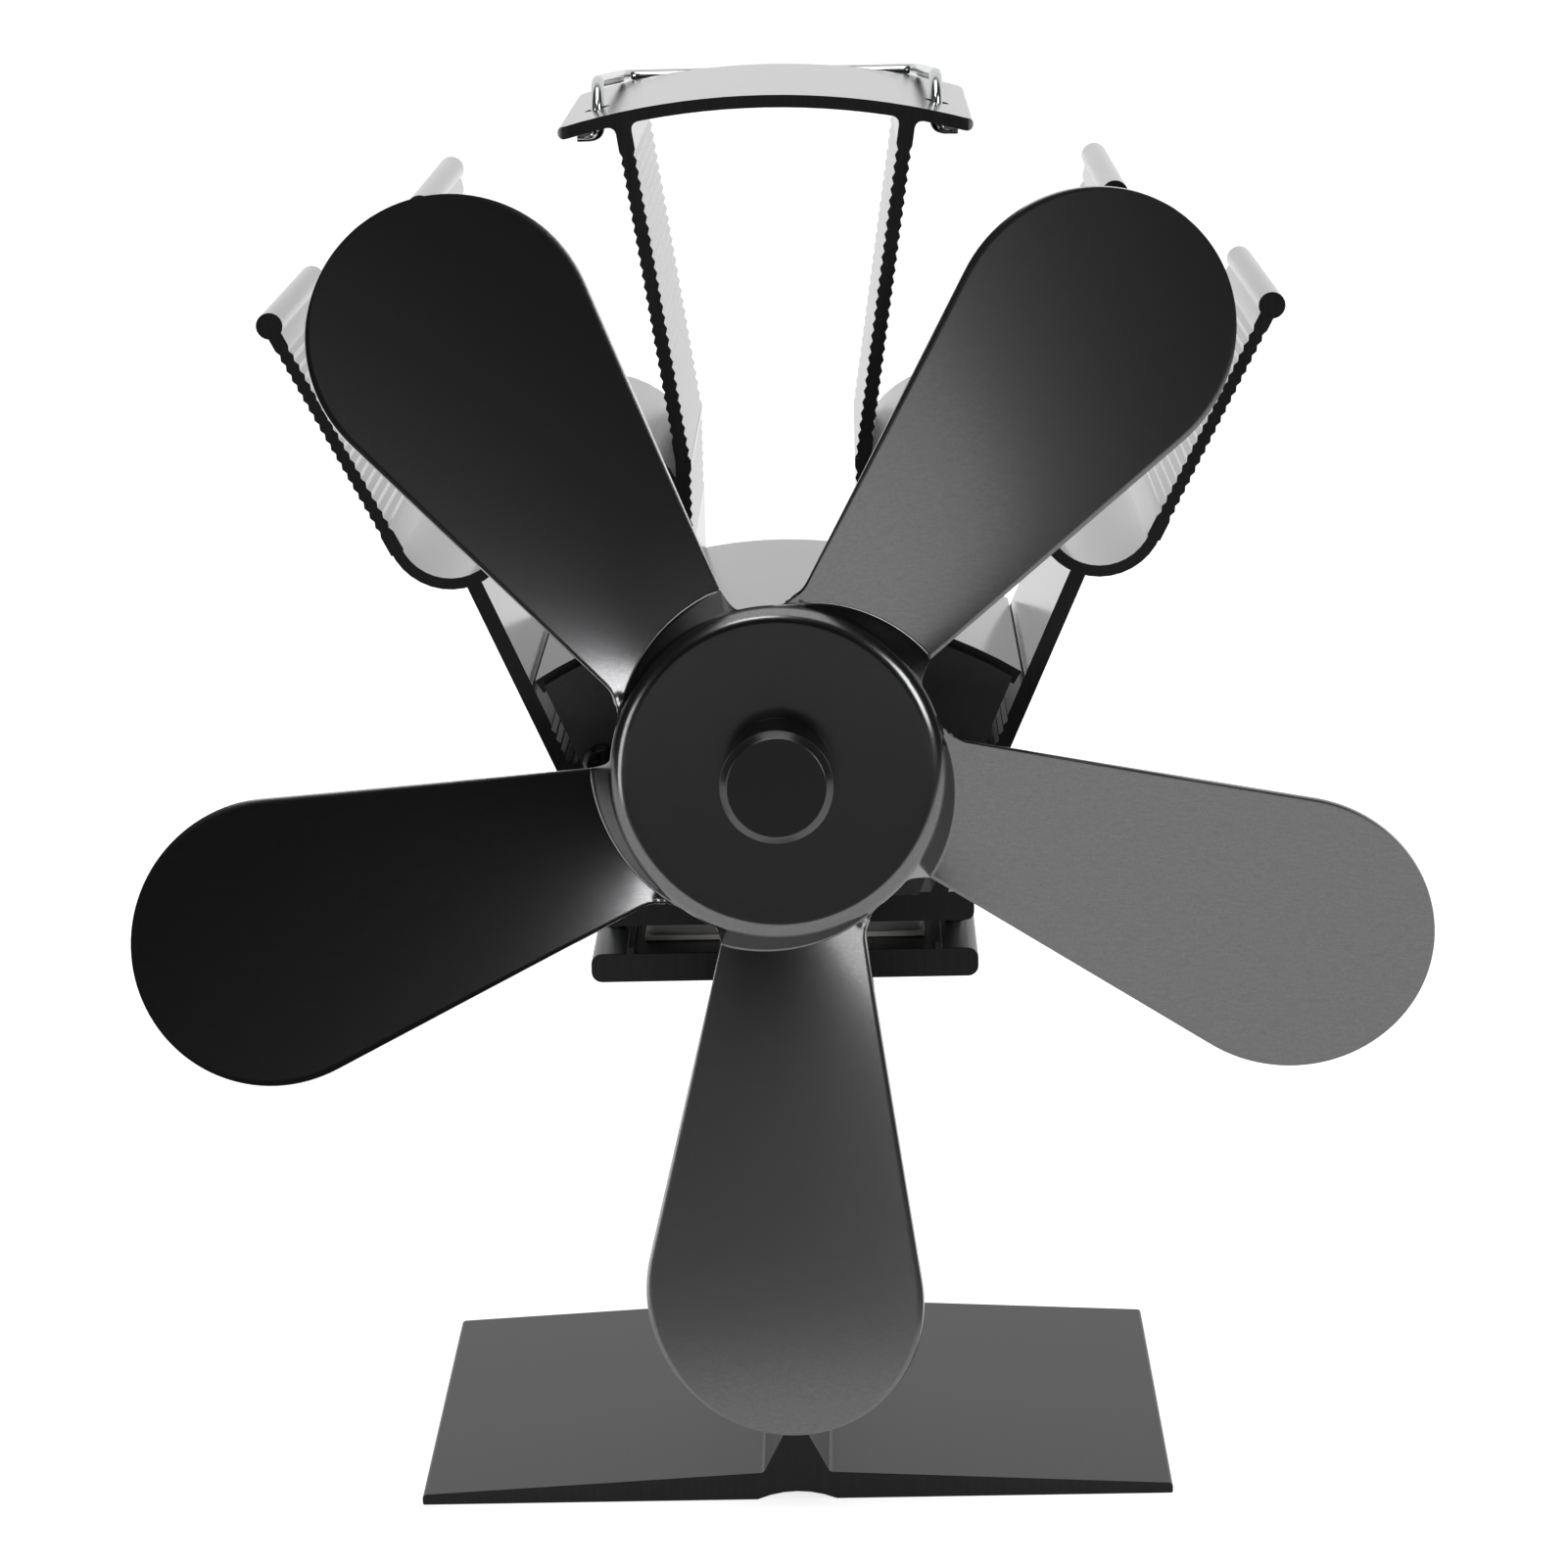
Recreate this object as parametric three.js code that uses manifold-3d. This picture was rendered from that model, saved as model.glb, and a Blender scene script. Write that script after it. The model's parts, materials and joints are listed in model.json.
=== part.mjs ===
// A stove-top fan driven by the heat of the stove: a thermoelectric module is clamped between a base
// extrusion that stands on the stove and a finned radiator extrusion, and feeds the small motor of a
// five-blade wheel. A wire handle folds down behind the radiator's top plate.
// Millimetres, +Z up, the wheel faces -Y. Origin: middle of the footprint, on the stove.

import * as THREE from 'three';
import { mergeVertices } from 'three/addons/utils/BufferGeometryUtils.js';
import Module from 'manifold-3d';

const wasm = await Module();
wasm.setup();

// Fits shared by several pieces
const seatGap = 0.3;       // between a piece and the one it rests on or runs in
const runGap = 0.05;       // round a shaft that turns
const pasteGap = 0.1;      // a film of thermal paste between flat faces
const cutOver = 1;         // how far a cutter runs past the wall it cuts
const roundSides = 40;     // sides of a large turned piece
const smallSides = 20;     // sides of a small turned piece
const screwSides = 12;     // sides of a screw and of its hole
const recessShare = 0.6;   // length of a cross recess as a share of its screw's head
const slotShare = 0.125;   // width of a cross recess as a share of its screw's head

// Base extrusion: foot, stem and hot plate
const footWidth = 110;
const footDepth = 70;
const footEdge = 1.6;           // thickness at the left and right edges
const footRoot = 4.2;           // thickness beside the stem
const footEdgeRadius = 0.6;
const grooveWidth = 11.6;       // shallow arch under the middle of the foot
const grooveRise = 1.2;
const stemThickness = 3.4;
const gussetReach = 3.2;        // how far the gussets at both ends stand out from the stem
const gussetHeight = 6.2;
const gussetRadius = 0.8;
const hotPlateWidth = 55;
const hotPlateThickness = 4.2;
const hotPlateTop = 83.7;       // height over the stove
const hotPlateRadius = 1.5;
const fenceWidth = 1;           // low ribs that keep the module in place
const fenceHeight = 1;
const fenceSpan = 42.6;         // clear width between them

// Thermoelectric module
const moduleSide = 40;
const moduleGap = 3.8;          // between the hot plate and the radiator's foot
const ceramicThickness = 0.8;
const sealWidth = 1.6;          // silicone bead round the thermoelements
const sealInset = 0.2;
const sealRadius = 1.2;
const leadDiameter = 1.4;
const leadSpacing = 12;         // between the two leads where they leave the module
const leadSides = 8;
const leadSteps = 22;
const leadSlack = 2.2;          // room between a lead and the radiator's back edge

// Clamp screws with their insulating washers
const clampSpacingX = 48.8;
const clampSpacingY = 22;
const clampShank = 2.6;
const clampHead = 5;
const clampHeadHeight = 1.8;
const clampRecessDepth = 0.9;
const clampDepth = 3.2;         // how far the screw reaches into the radiator
const washerDiameter = 5.6;
const washerThickness = 0.8;

// Radiator extrusion
const radiatorSetback = 1;      // its front face behind the foot's
const radiatorDepth = 50;
const radiatorFootWidth = 54;
const radiatorFootThickness = 4.2;
const radiatorFootRadius = 1.2;
const wallThickness = 2.2;      // the two walls of the V
const wallFoot = 43.2;          // between their middles on the foot
const wallLean = 23.5;          // degrees from upright
const wallLength = 58.9;        // from the foot to the middle of the cup
const cupRadius = 8.25;         // middle of the cup's wall
const cupThickness = 1.6;
const cupOverlap = 5;           // degrees that the cup runs on inside the fins
const outerFinLean = 26.9;
const outerFinLength = 35.9;
const middleFinLean = 13.7;
const middleFinLength = 43.2;
const finThickness = 2;
const beadRadius = 1.85;        // round bead along a fin's tip
const innerWallSpacing = 24.8;  // between the middles of the two upright inner walls
const innerWallThickness = 2.2;
const innerKink = 154;          // height where the inner walls start to lean
const innerFinLean = 8.5;
const roofRadius = 64;          // top face of the arched roof over the motor
const roofTop = 133.2;
const roofThickness = 2.1;
const hillRadius = 14.8;        // arched wall between the inner wall and the middle fin
const hillThickness = 1.6;
const hillCentreX = 26.1;
const hillCentreZ = 144.1;
const hillEnds = [37, 166];     // degrees, inside the middle fin and inside the inner wall
const archRadius = 103;         // top face of the arched plate
const archTop = 204;
const archOverhang = 5;         // plate beyond the middle of the handle's holes
const archThickness = 1.7;
const archCorner = 2;           // corner radius of the plate seen from above
const archFillet = 1;           // between the plate and the inner fins
const filletRoot = 0.3;         // how far a fillet starts inside the walls that it joins
const ribPitch = 1.55;
const ribDepth = 0.32;
const ribSteps = 2;             // straight runs across one rib
const ribMargin = 3;            // plain length beside a bead or a joint
const portRadius = 3.4;         // screw ports for the motor bracket
const portSpacing = 50;
const portBore = 2.9;
const portNeck = 2;

// Wheel axis: it leans back, so that the air is thrown slightly upwards
const axisLean = 5.9;           // degrees
const wheelForward = 15;        // blade roots in front of the radiator's front face
const axisHeight = 113.6;       // of the middle of the blade roots

// Fan wheel: one drawn and stamped sheet. It turns clockwise as seen from the front.
const sheetThickness = 0.8;
const hubFaceRadius = 20.8;     // flat face of the drawn hub
const hubFillet = 2.4;          // round between the face and the wall
const hubRidge = 24.4;          // radius where the wall turns into the blades
const hubHole = 8;
const bladeCount = 5;
const bladeFirst = -90.6;       // degrees, the lowest blade
const bladePitch = 13;          // degrees, the trailing edge stands forward
const bladeSweep = 4;           // degrees that the blades lean forward from the hub
const bladeDrop = 3.8;          // root of the blades behind the hub's face
const bladeReach = 73.3;        // from the axis to the middle of the round tip
const bladeTip = 19.75;         // radius of the round tip
const bladeLeading = -19.4;     // degrees from the blade's axis, root's corner at the leading edge
const bladeTrailing = 27.8;     // degrees from the blade's axis, root's corner at the trailing edge
const notchRadius = 23.3;       // bottom of the notch between two blades
const notchFillet = 5.5;        // from the notch into the trailing edge
const bladeColumns = 6;         // facets across a blade
const notchColumns = 4;         // facets along a notch
const filletSteps = 3;
const tipSteps = 9;
const rootShare = 0.08;         // part of the leading edge beside the notch's fillet

// Hub boss and its ring
const bossRadius = 7.7;
const bossLength = 13.2;
const bossChamfer = 1;
const spigotLength = 3.4;
const ringRadius = 6.4;
const ringThickness = 1;

// Motor
const shaftDiameter = 2;
const shaftEnd = 2;             // solid front of the boss left before the shaft
const canRadius = 14;
const canLength = 21;
const canWall = 0.8;
const neckRadius = 4;           // collar round the front bearing
const neckLength = 2.4;
const bearingRadius = 2.8;
const bearingLength = 3.6;
const magnetThickness = 2.6;
const magnetLength = 15;
const magnetAngle = 112;        // degrees that one magnet covers
const magnetStart = 2.4;        // behind the can's front
const airGap = 0.5;
const coreLength = 11;
const coreStart = 4.4;
const poleCount = 3;
const poleAngle = 84;           // degrees that a pole's shoe covers
const poleShoe = 1.8;
const poleNeck = 3;
const coreHub = 3;
const coilThickness = 1.3;
const commutatorRadius = 2.6;
const commutatorLength = 2.8;
const commutatorStart = 17;
const commutatorSlotShare = 0.8; // length of its slots as a share of its own
const capThickness = 2;
const capBoss = 4.2;
const capBossLength = 2.4;
const terminalSpacing = 11;
const terminalWidth = 2.2;
const terminalThickness = 0.6;
const terminalTail = 4;         // length behind the end cap
const brushThickness = 1;

// Motor bracket
const bracketThickness = 1.2;
const bracketDisc = 16;
const bracketSlit = 1.2;        // between the plate and the walls beside it
const bracketScrewHead = 5.2;
const bracketScrewHeadHeight = 1.7;
const bracketScrewShank = 2.3;
const bracketScrewLength = 9;
const motorScrewSpacing = 18;
const motorScrewShank = 1.6;
const motorScrewHead = 3.4;
const motorScrewHeadHeight = 1.2;
const motorScrewReach = 2;      // inside the can

// Wire handle
const wireDiameter = 1.8;
const wireSides = 10;
const handleAside = 4.03;       // holes beside the middle of the inner fins
const handleInset = 15;         // holes behind the radiator's front face
const handleHole = 3.6;
const handleRing = 4.2;         // radius of the bent ends, which turn about their own middle
const handleHook = 45;          // degrees that the ring runs on below the plate
const hookBend = 22;            // degrees of the ring that its turned-out end takes away
const hookLength = 3;
const handleBehind = 3;         // crossbar behind the plate's back edge
const handleNarrow = 1.8;       // how much narrower the handle is at the crossbar
const handleRest = 0.05;        // air between the folded handle and the plate's back edge
const handleBend = 2.6;         // bend radius at its corners

// Colours
const anodised = { color: 0x17181a, metalness: 0.7, roughness: 0.42 };
const blackSheet = { color: 0x1b1c1e, metalness: 0.6, roughness: 0.38 };
const steel = { color: 0xc4c6c8, metalness: 1, roughness: 0.25 };
const zinc = { color: 0x9aa0a2, metalness: 0.9, roughness: 0.4 };
const ceramic = { color: 0xe6e4dd, metalness: 0, roughness: 0.6 };
const bismuth = { color: 0x6d6a66, metalness: 0.6, roughness: 0.6 };
const silicone = { color: 0xc9cac8, metalness: 0, roughness: 0.7 };
const redLead = { color: 0xa02018, metalness: 0, roughness: 0.5 };
const blackLead = { color: 0x18181a, metalness: 0, roughness: 0.5 };
const nylon = { color: 0xd8d6cc, metalness: 0, roughness: 0.6 };
const ferrite = { color: 0x3a3a3c, metalness: 0.2, roughness: 0.8 };
const bronze = { color: 0x9c6b3c, metalness: 0.9, roughness: 0.5 };
const copper = { color: 0xb5683a, metalness: 0.9, roughness: 0.35 };
const laminations = { color: 0x5c5e62, metalness: 0.8, roughness: 0.5 };

// Worked-out places
const radians = THREE.MathUtils.degToRad;
const radiatorBase = hotPlateTop + moduleGap;
const radiatorFootTop = radiatorBase + radiatorFootThickness;
const radiatorBack = radiatorSetback + radiatorDepth;
const moduleMiddle = radiatorSetback + radiatorDepth / 2;
const lean = radians(axisLean);
const bossFront = bladeDrop + bossLength;
const wheelY = radiatorSetback - wheelForward;
const frontReach = wheelY - bossFront * Math.cos(lean) - (bossRadius - bossChamfer) * Math.sin(lean);
const middleY = (frontReach + footDepth) / 2;
const motorFront = wheelForward / Math.cos(lean) + seatGap;
// The inner fins end in the middle of the arched plate, and the handle's holes lie outside them.
const innerX = innerWallSpacing / 2;
const innerRise = (archTop - archThickness / 2 - innerKink) / Math.cos(radians(innerFinLean));
const archDrop = (innerX + innerRise * Math.sin(radians(innerFinLean))) ** 2 / (2 * archRadius);
const innerRun = innerRise - archDrop / Math.cos(radians(innerFinLean));
const handleHoleX = innerX + innerRun * Math.sin(radians(innerFinLean)) + handleAside;
const archWidth = 2 * (handleHoleX + archOverhang);

const model = new THREE.Group();
model.position.y = -middleY;

// Turns a three.js geometry into a solid that can be joined and cut.
function solid(geometry) {
  const bare = geometry.index ? geometry.toNonIndexed() : geometry.clone();
  bare.deleteAttribute('normal');
  bare.deleteAttribute('uv');
  const merged = mergeVertices(bare);
  return new wasm.Manifold(new wasm.Mesh({
    numProp: 3,
    vertProperties: new Float32Array(merged.attributes.position.array),
    triVerts: new Uint32Array(merged.index.array),
  }));
}

// Turns a solid back into a three.js geometry.
function surface(shape) {
  const mesh = shape.getMesh();
  const geometry = new THREE.BufferGeometry();
  geometry.setAttribute('position', new THREE.BufferAttribute(new Float32Array(mesh.vertProperties), 3));
  geometry.setIndex(new THREE.BufferAttribute(new Uint32Array(mesh.triVerts), 1));
  geometry.computeVertexNormals();
  return geometry;
}

function join(shapes) {
  return shapes.reduce((sum, shape) => sum.add(shape));
}

function cut(shape, cutters) {
  return cutters.reduce((rest, cutter) => rest.subtract(cutter), shape);
}

// Adds one named piece to a group.
function add(parent, name, geometry, finish) {
  const mesh = new THREE.Mesh(geometry, new THREE.MeshStandardMaterial(finish));
  mesh.name = name;
  parent.add(mesh);
  return mesh;
}

// Points of an arc about [x, z], both ends included. Angles are in degrees.
function arc([x, z], radius, from, to, steps) {
  return Array.from({ length: steps + 1 }, (_, i) => {
    const angle = radians(from + (to - from) * i / steps);
    return [x + radius * Math.cos(angle), z + radius * Math.sin(angle)];
  });
}

// A closed outline whose corners [x, z, radius] are rounded.
function rounded(corners, steps = 4) {
  const outline = [];
  corners.forEach(([x, z, radius = 0], i) => {
    if (radius === 0) {
      outline.push([x, z]);
      return;
    }
    const here = new THREE.Vector2(x, z);
    const last = corners[(i + corners.length - 1) % corners.length];
    const next = corners[(i + 1) % corners.length];
    const toLast = new THREE.Vector2(last[0], last[1]).sub(here).normalize();
    const toNext = new THREE.Vector2(next[0], next[1]).sub(here).normalize();
    const half = Math.acos(toLast.dot(toNext)) / 2;
    const bisector = toLast.clone().add(toNext).normalize();
    const centre = here.clone().addScaledVector(bisector, radius / Math.sin(half));
    const start = here.clone().addScaledVector(toLast, radius / Math.tan(half)).sub(centre);
    const end = here.clone().addScaledVector(toNext, radius / Math.tan(half)).sub(centre);
    const turn = Math.atan2(start.cross(end), start.dot(end));
    for (let k = 0; k <= steps; k += 1) {
      const point = start.clone().rotateAround(new THREE.Vector2(), turn * k / steps).add(centre);
      outline.push([point.x, point.y]);
    }
  });
  return outline;
}

// An outline in the XZ plane, with its holes, drawn back along +Y from `from` over `depth`.
function prism(outline, from, depth, holes = []) {
  const shape = new THREE.Shape(outline.map(([x, z]) => new THREE.Vector2(x, z)));
  shape.holes = holes.map((hole) => new THREE.Path(hole.map(([x, z]) => new THREE.Vector2(x, z))));
  const geometry = new THREE.ExtrudeGeometry(shape, { depth, bevelEnabled: false });
  geometry.rotateX(Math.PI / 2);
  geometry.translate(0, from + depth, 0);
  return geometry;
}

// A profile of [radius, y] turned about the Y axis.
function turned(profile, sides) {
  return new THREE.LatheGeometry(profile.map(([radius, y]) => new THREE.Vector2(radius, y)), sides);
}

// A plain bar along Y.
function rodY(radius, from, to, sides) {
  return turned([[0, from], [radius, from], [radius, to], [0, to]], sides);
}

// A plain bar along Z through [x, y].
function rodZ(radius, [x, y], from, to, sides) {
  const rod = rodY(radius, from, to, sides);
  rod.rotateX(Math.PI / 2);
  rod.translate(x, y, 0);
  return rod;
}

// A hollow bar along Y.
function tubeY(outer, inner, from, to, sides) {
  return turned([[inner, from], [outer, from], [outer, to], [inner, to], [inner, from]], sides);
}

function circle(radius, sides) {
  return circleAt([0, 0], radius, sides);
}

function circleAt(centre, radius, sides) {
  return arc(centre, radius, 0, 360 - 360 / sides, sides - 1);
}

// Base extrusion
function baseExtrusion() {
  const half = footWidth / 2;
  const stem = stemThickness / 2;
  const plate = hotPlateWidth / 2;
  const plateUnder = hotPlateTop - hotPlateThickness;
  const fence = fenceSpan / 2;
  const fenceTop = hotPlateTop + fenceHeight;
  // The arch of the groove: its radius follows from its width and rise.
  const grooveRadius = (grooveWidth ** 2 / 4 + grooveRise ** 2) / (2 * grooveRise);
  const grooveHalf = THREE.MathUtils.radToDeg(Math.asin(grooveWidth / 2 / grooveRadius));
  const groove = arc([0, grooveRise - grooveRadius], grooveRadius, 90 + grooveHalf, 90 - grooveHalf, 6);
  const rightSide = [
    [half, 0, footEdgeRadius / 2],
    [half, footEdge, footEdgeRadius],
    [stem + gussetReach, footRoot, gussetRadius],
    [stem, footRoot + gussetHeight, gussetRadius],
    [stem, plateUnder - gussetHeight, gussetRadius],
    [stem + gussetReach, plateUnder, gussetRadius],
    [plate, plateUnder, hotPlateRadius],
    [plate, hotPlateTop, hotPlateRadius],
    [fence + fenceWidth, hotPlateTop],
    [fence + fenceWidth, fenceTop],
    [fence, fenceTop],
    [fence, hotPlateTop],
  ];
  const leftSide = rightSide.map(([x, z, radius]) => [-x, z, radius]).reverse();
  const outline = [...groove, ...rounded([...rightSide, ...leftSide])];
  const block = solid(prism(outline, 0, footDepth));
  const hole = clampShank / 2 + seatGap;
  const holes = clampPlaces().map((place) => (
    solid(rodZ(hole, place, plateUnder - cutOver, hotPlateTop + cutOver, screwSides))));
  return surface(cut(block, holes));
}

// Where the four clamp screws stand, seen from above.
function clampPlaces() {
  return [-1, 1].flatMap((back) => [-1, 1].map((right) => (
    [right * clampSpacingX / 2, moduleMiddle + back * clampSpacingY / 2])));
}

// Thermoelectric module: two ceramic plates, the thermoelements and the bead of silicone round them
function square(side, radius) {
  const half = side / 2;
  const right = [[half, -half, radius], [half, half, radius]];
  const left = [[-half, half, radius], [-half, -half, radius]];
  return rounded([...right, ...left]);
}

// A square slab lying flat, `middle` over the stove's edge of the foot.
function slab(side, radius, bottom, height, hole = 0) {
  const shape = new THREE.Shape(square(side, radius).map(([x, y]) => new THREE.Vector2(x, y)));
  if (hole > 0) {
    shape.holes = [new THREE.Path(square(hole, radius).map(([x, y]) => new THREE.Vector2(x, y)))];
  }
  const geometry = new THREE.ExtrudeGeometry(shape, { depth: height, bevelEnabled: false });
  geometry.translate(0, moduleMiddle, bottom);
  return geometry;
}

function addModule() {
  const hotBottom = hotPlateTop + pasteGap;
  const coldBottom = radiatorBase - pasteGap - ceramicThickness;
  const coreBottom = hotBottom + ceramicThickness + pasteGap;
  const coreHeight = coldBottom - pasteGap - coreBottom;
  const sealSide = moduleSide - 2 * sealInset;
  const sealInside = sealSide - 2 * sealWidth;
  const coreSide = sealInside - 2 * seatGap;
  add(model, 'module_hot_ceramic', slab(moduleSide, sealInset, hotBottom, ceramicThickness), ceramic);
  add(model, 'module_elements', slab(coreSide, sealRadius, coreBottom, coreHeight), bismuth);
  add(model, 'module_seal', slab(sealSide, sealRadius, coreBottom, coreHeight, sealInside), silicone);
  add(model, 'module_cold_ceramic', slab(moduleSide, sealInset, coldBottom, ceramicThickness), ceramic);
}

// The two leads run from the module round the radiator's back edge and up to the motor's terminals.
function lead(side) {
  const radius = leadDiameter / 2;
  const exitY = moduleMiddle + moduleSide / 2 + seatGap;
  const exitZ = (hotPlateTop + radiatorBase) / 2;
  const backY = radiatorBack + leadSlack;
  const tail = new THREE.Vector3(0, motorFront + canLength + capThickness + terminalTail + seatGap, 0);
  tail.applyAxisAngle(new THREE.Vector3(1, 0, 0), -lean).add(new THREE.Vector3(0, wheelY, axisHeight));
  const x = side * leadSpacing / 2;
  const endX = side * terminalSpacing / 2;
  const points = [
    [x, exitY, exitZ],
    [x, exitY + leadDiameter, exitZ],
    [x, backY, radiatorBase + radius],
    [x, backY + radius, radiatorFootTop],
    [x, backY - leadDiameter, radiatorFootTop + 2 * leadSlack],
    [x, (backY + tail.y) / 2, (radiatorFootTop + tail.z) / 2 + leadSlack],
    [endX, tail.y + 3 * leadDiameter, tail.z - radius],
    [endX, tail.y, tail.z],
  ];
  const path = new THREE.CatmullRomCurve3(points.map((p) => new THREE.Vector3(...p)), false, 'centripetal');
  const section = new THREE.Shape(circle(radius, leadSides).map(([u, v]) => new THREE.Vector2(u, v)));
  return new THREE.ExtrudeGeometry(section, { steps: leadSteps, extrudePath: path, bevelEnabled: false });
}

// Clamp screws: from below through the hot plate into the radiator's foot
function clampScrew([x, y]) {
  const headTop = hotPlateTop - hotPlateThickness - washerThickness - 2 * seatGap;
  const shankTop = radiatorBase + clampDepth;
  const head = solid(rodZ(clampHead / 2, [x, y], headTop - clampHeadHeight, headTop, screwSides));
  const shank = solid(rodZ(clampShank / 2, [x, y], headTop - clampHeadHeight / 2, shankTop, screwSides));
  const recess = [0, Math.PI / 2].map((turn) => {
    const bar = new THREE.BoxGeometry(clampHead * recessShare, clampHead * slotShare, 2 * clampRecessDepth);
    bar.rotateZ(turn);
    bar.translate(x, y, headTop - clampHeadHeight);
    return solid(bar);
  });
  return surface(cut(head.add(shank), recess));
}

function clampWasher([x, y]) {
  const top = hotPlateTop - hotPlateThickness - seatGap;
  const disc = solid(rodZ(washerDiameter / 2, [x, y], top - washerThickness, top, smallSides));
  const hole = solid(rodZ(clampShank / 2 + seatGap, [x, y], top - 2 * cutOver, top + cutOver, screwSides));
  return surface(disc.subtract(hole));
}

// Radiator extrusion. A straight wall runs from one point to another.
function along([x, z], leanDegrees, length) {
  const angle = radians(leanDegrees);
  return [x + length * Math.sin(angle), z + length * Math.cos(angle)];
}

// Points along one side of a wall: plain, or with scalloped ribs between `ribs[0]` and `ribs[1]`.
function side(from, leanDegrees, length, offset, ribs) {
  const outward = Math.sign(offset);
  const across = [Math.cos(radians(leanDegrees)), -Math.sin(radians(leanDegrees))];
  const place = (s, depth) => {
    const [x, z] = along(from, leanDegrees, s);
    const reach = offset - outward * depth;
    return [x + across[0] * reach, z + across[1] * reach];
  };
  const points = [place(0, 0)];
  if (ribs) {
    const count = Math.floor((ribs[1] - ribs[0]) / ribPitch);
    for (let k = 0; k <= count * ribSteps; k += 1) {
      points.push(place(ribs[0] + k * ribPitch / ribSteps, ribDepth * Math.sin(Math.PI * k / ribSteps) ** 2));
    }
  }
  points.push(place(length, 0));
  return points;
}

function wall(from, leanDegrees, length, thickness, leftRibs, rightRibs) {
  const left = side(from, leanDegrees, length, -thickness / 2, leftRibs);
  const right = side(from, leanDegrees, length, thickness / 2, rightRibs);
  return [...right, ...left.reverse()];
}

function arcWall(centre, outer, thickness, from, to, steps) {
  return [...arc(centre, outer, from, to, steps), ...arc(centre, outer - thickness, to, from, steps)];
}

// Fillet in the corner between two walls, which it starts a little inside.
function fillet([x, z], towardsA, towardsB, radius) {
  const a = new THREE.Vector2(...towardsA).normalize();
  const b = new THREE.Vector2(...towardsB).normalize();
  const half = Math.acos(a.dot(b)) / 2;
  const bisector = a.clone().add(b).normalize();
  const centre = new THREE.Vector2(x, z).addScaledVector(bisector, radius / Math.sin(half));
  const root = new THREE.Vector2(x, z).addScaledVector(bisector, -filletRoot);
  const start = new THREE.Vector2(x, z).addScaledVector(a, radius / Math.tan(half)).sub(centre);
  const end = new THREE.Vector2(x, z).addScaledVector(b, radius / Math.tan(half)).sub(centre);
  const turn = Math.atan2(start.cross(end), start.dot(end));
  const steps = 3;
  const points = [[root.x, root.y]];
  for (let k = 0; k <= steps; k += 1) {
    const point = start.clone().rotateAround(new THREE.Vector2(), turn * k / steps).add(centre);
    points.push([point.x, point.y]);
  }
  return turn < 0 ? points : points.reverse();
}

// The two fillets where the inner fin meets the underside of the arched plate.
function archFillets([x, z], leanDegrees, run) {
  const under = archRadius - archThickness;
  const down = [-Math.sin(radians(leanDegrees)), -Math.cos(radians(leanDegrees))];
  return [-1, 1].map((hand) => {
    const [topX, topZ] = along([x, z], leanDegrees, run);
    const sideX = topX - hand * down[1] * innerWallThickness / 2;
    const sideZ = topZ + hand * down[0] * innerWallThickness / 2;
    // Back along the fin's side to the plate's underside.
    const over = (Math.hypot(sideX, sideZ - archTop + archRadius) - under) / -down[1];
    const corner = [sideX + down[0] * over, sideZ + down[1] * over];
    const slope = corner[0] / (corner[1] - archTop + archRadius);
    return fillet(corner, down, [hand, -hand * slope], archFillet);
  });
}

function mirrored(outline) {
  return outline.map(([x, z]) => [-x, z]);
}

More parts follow.
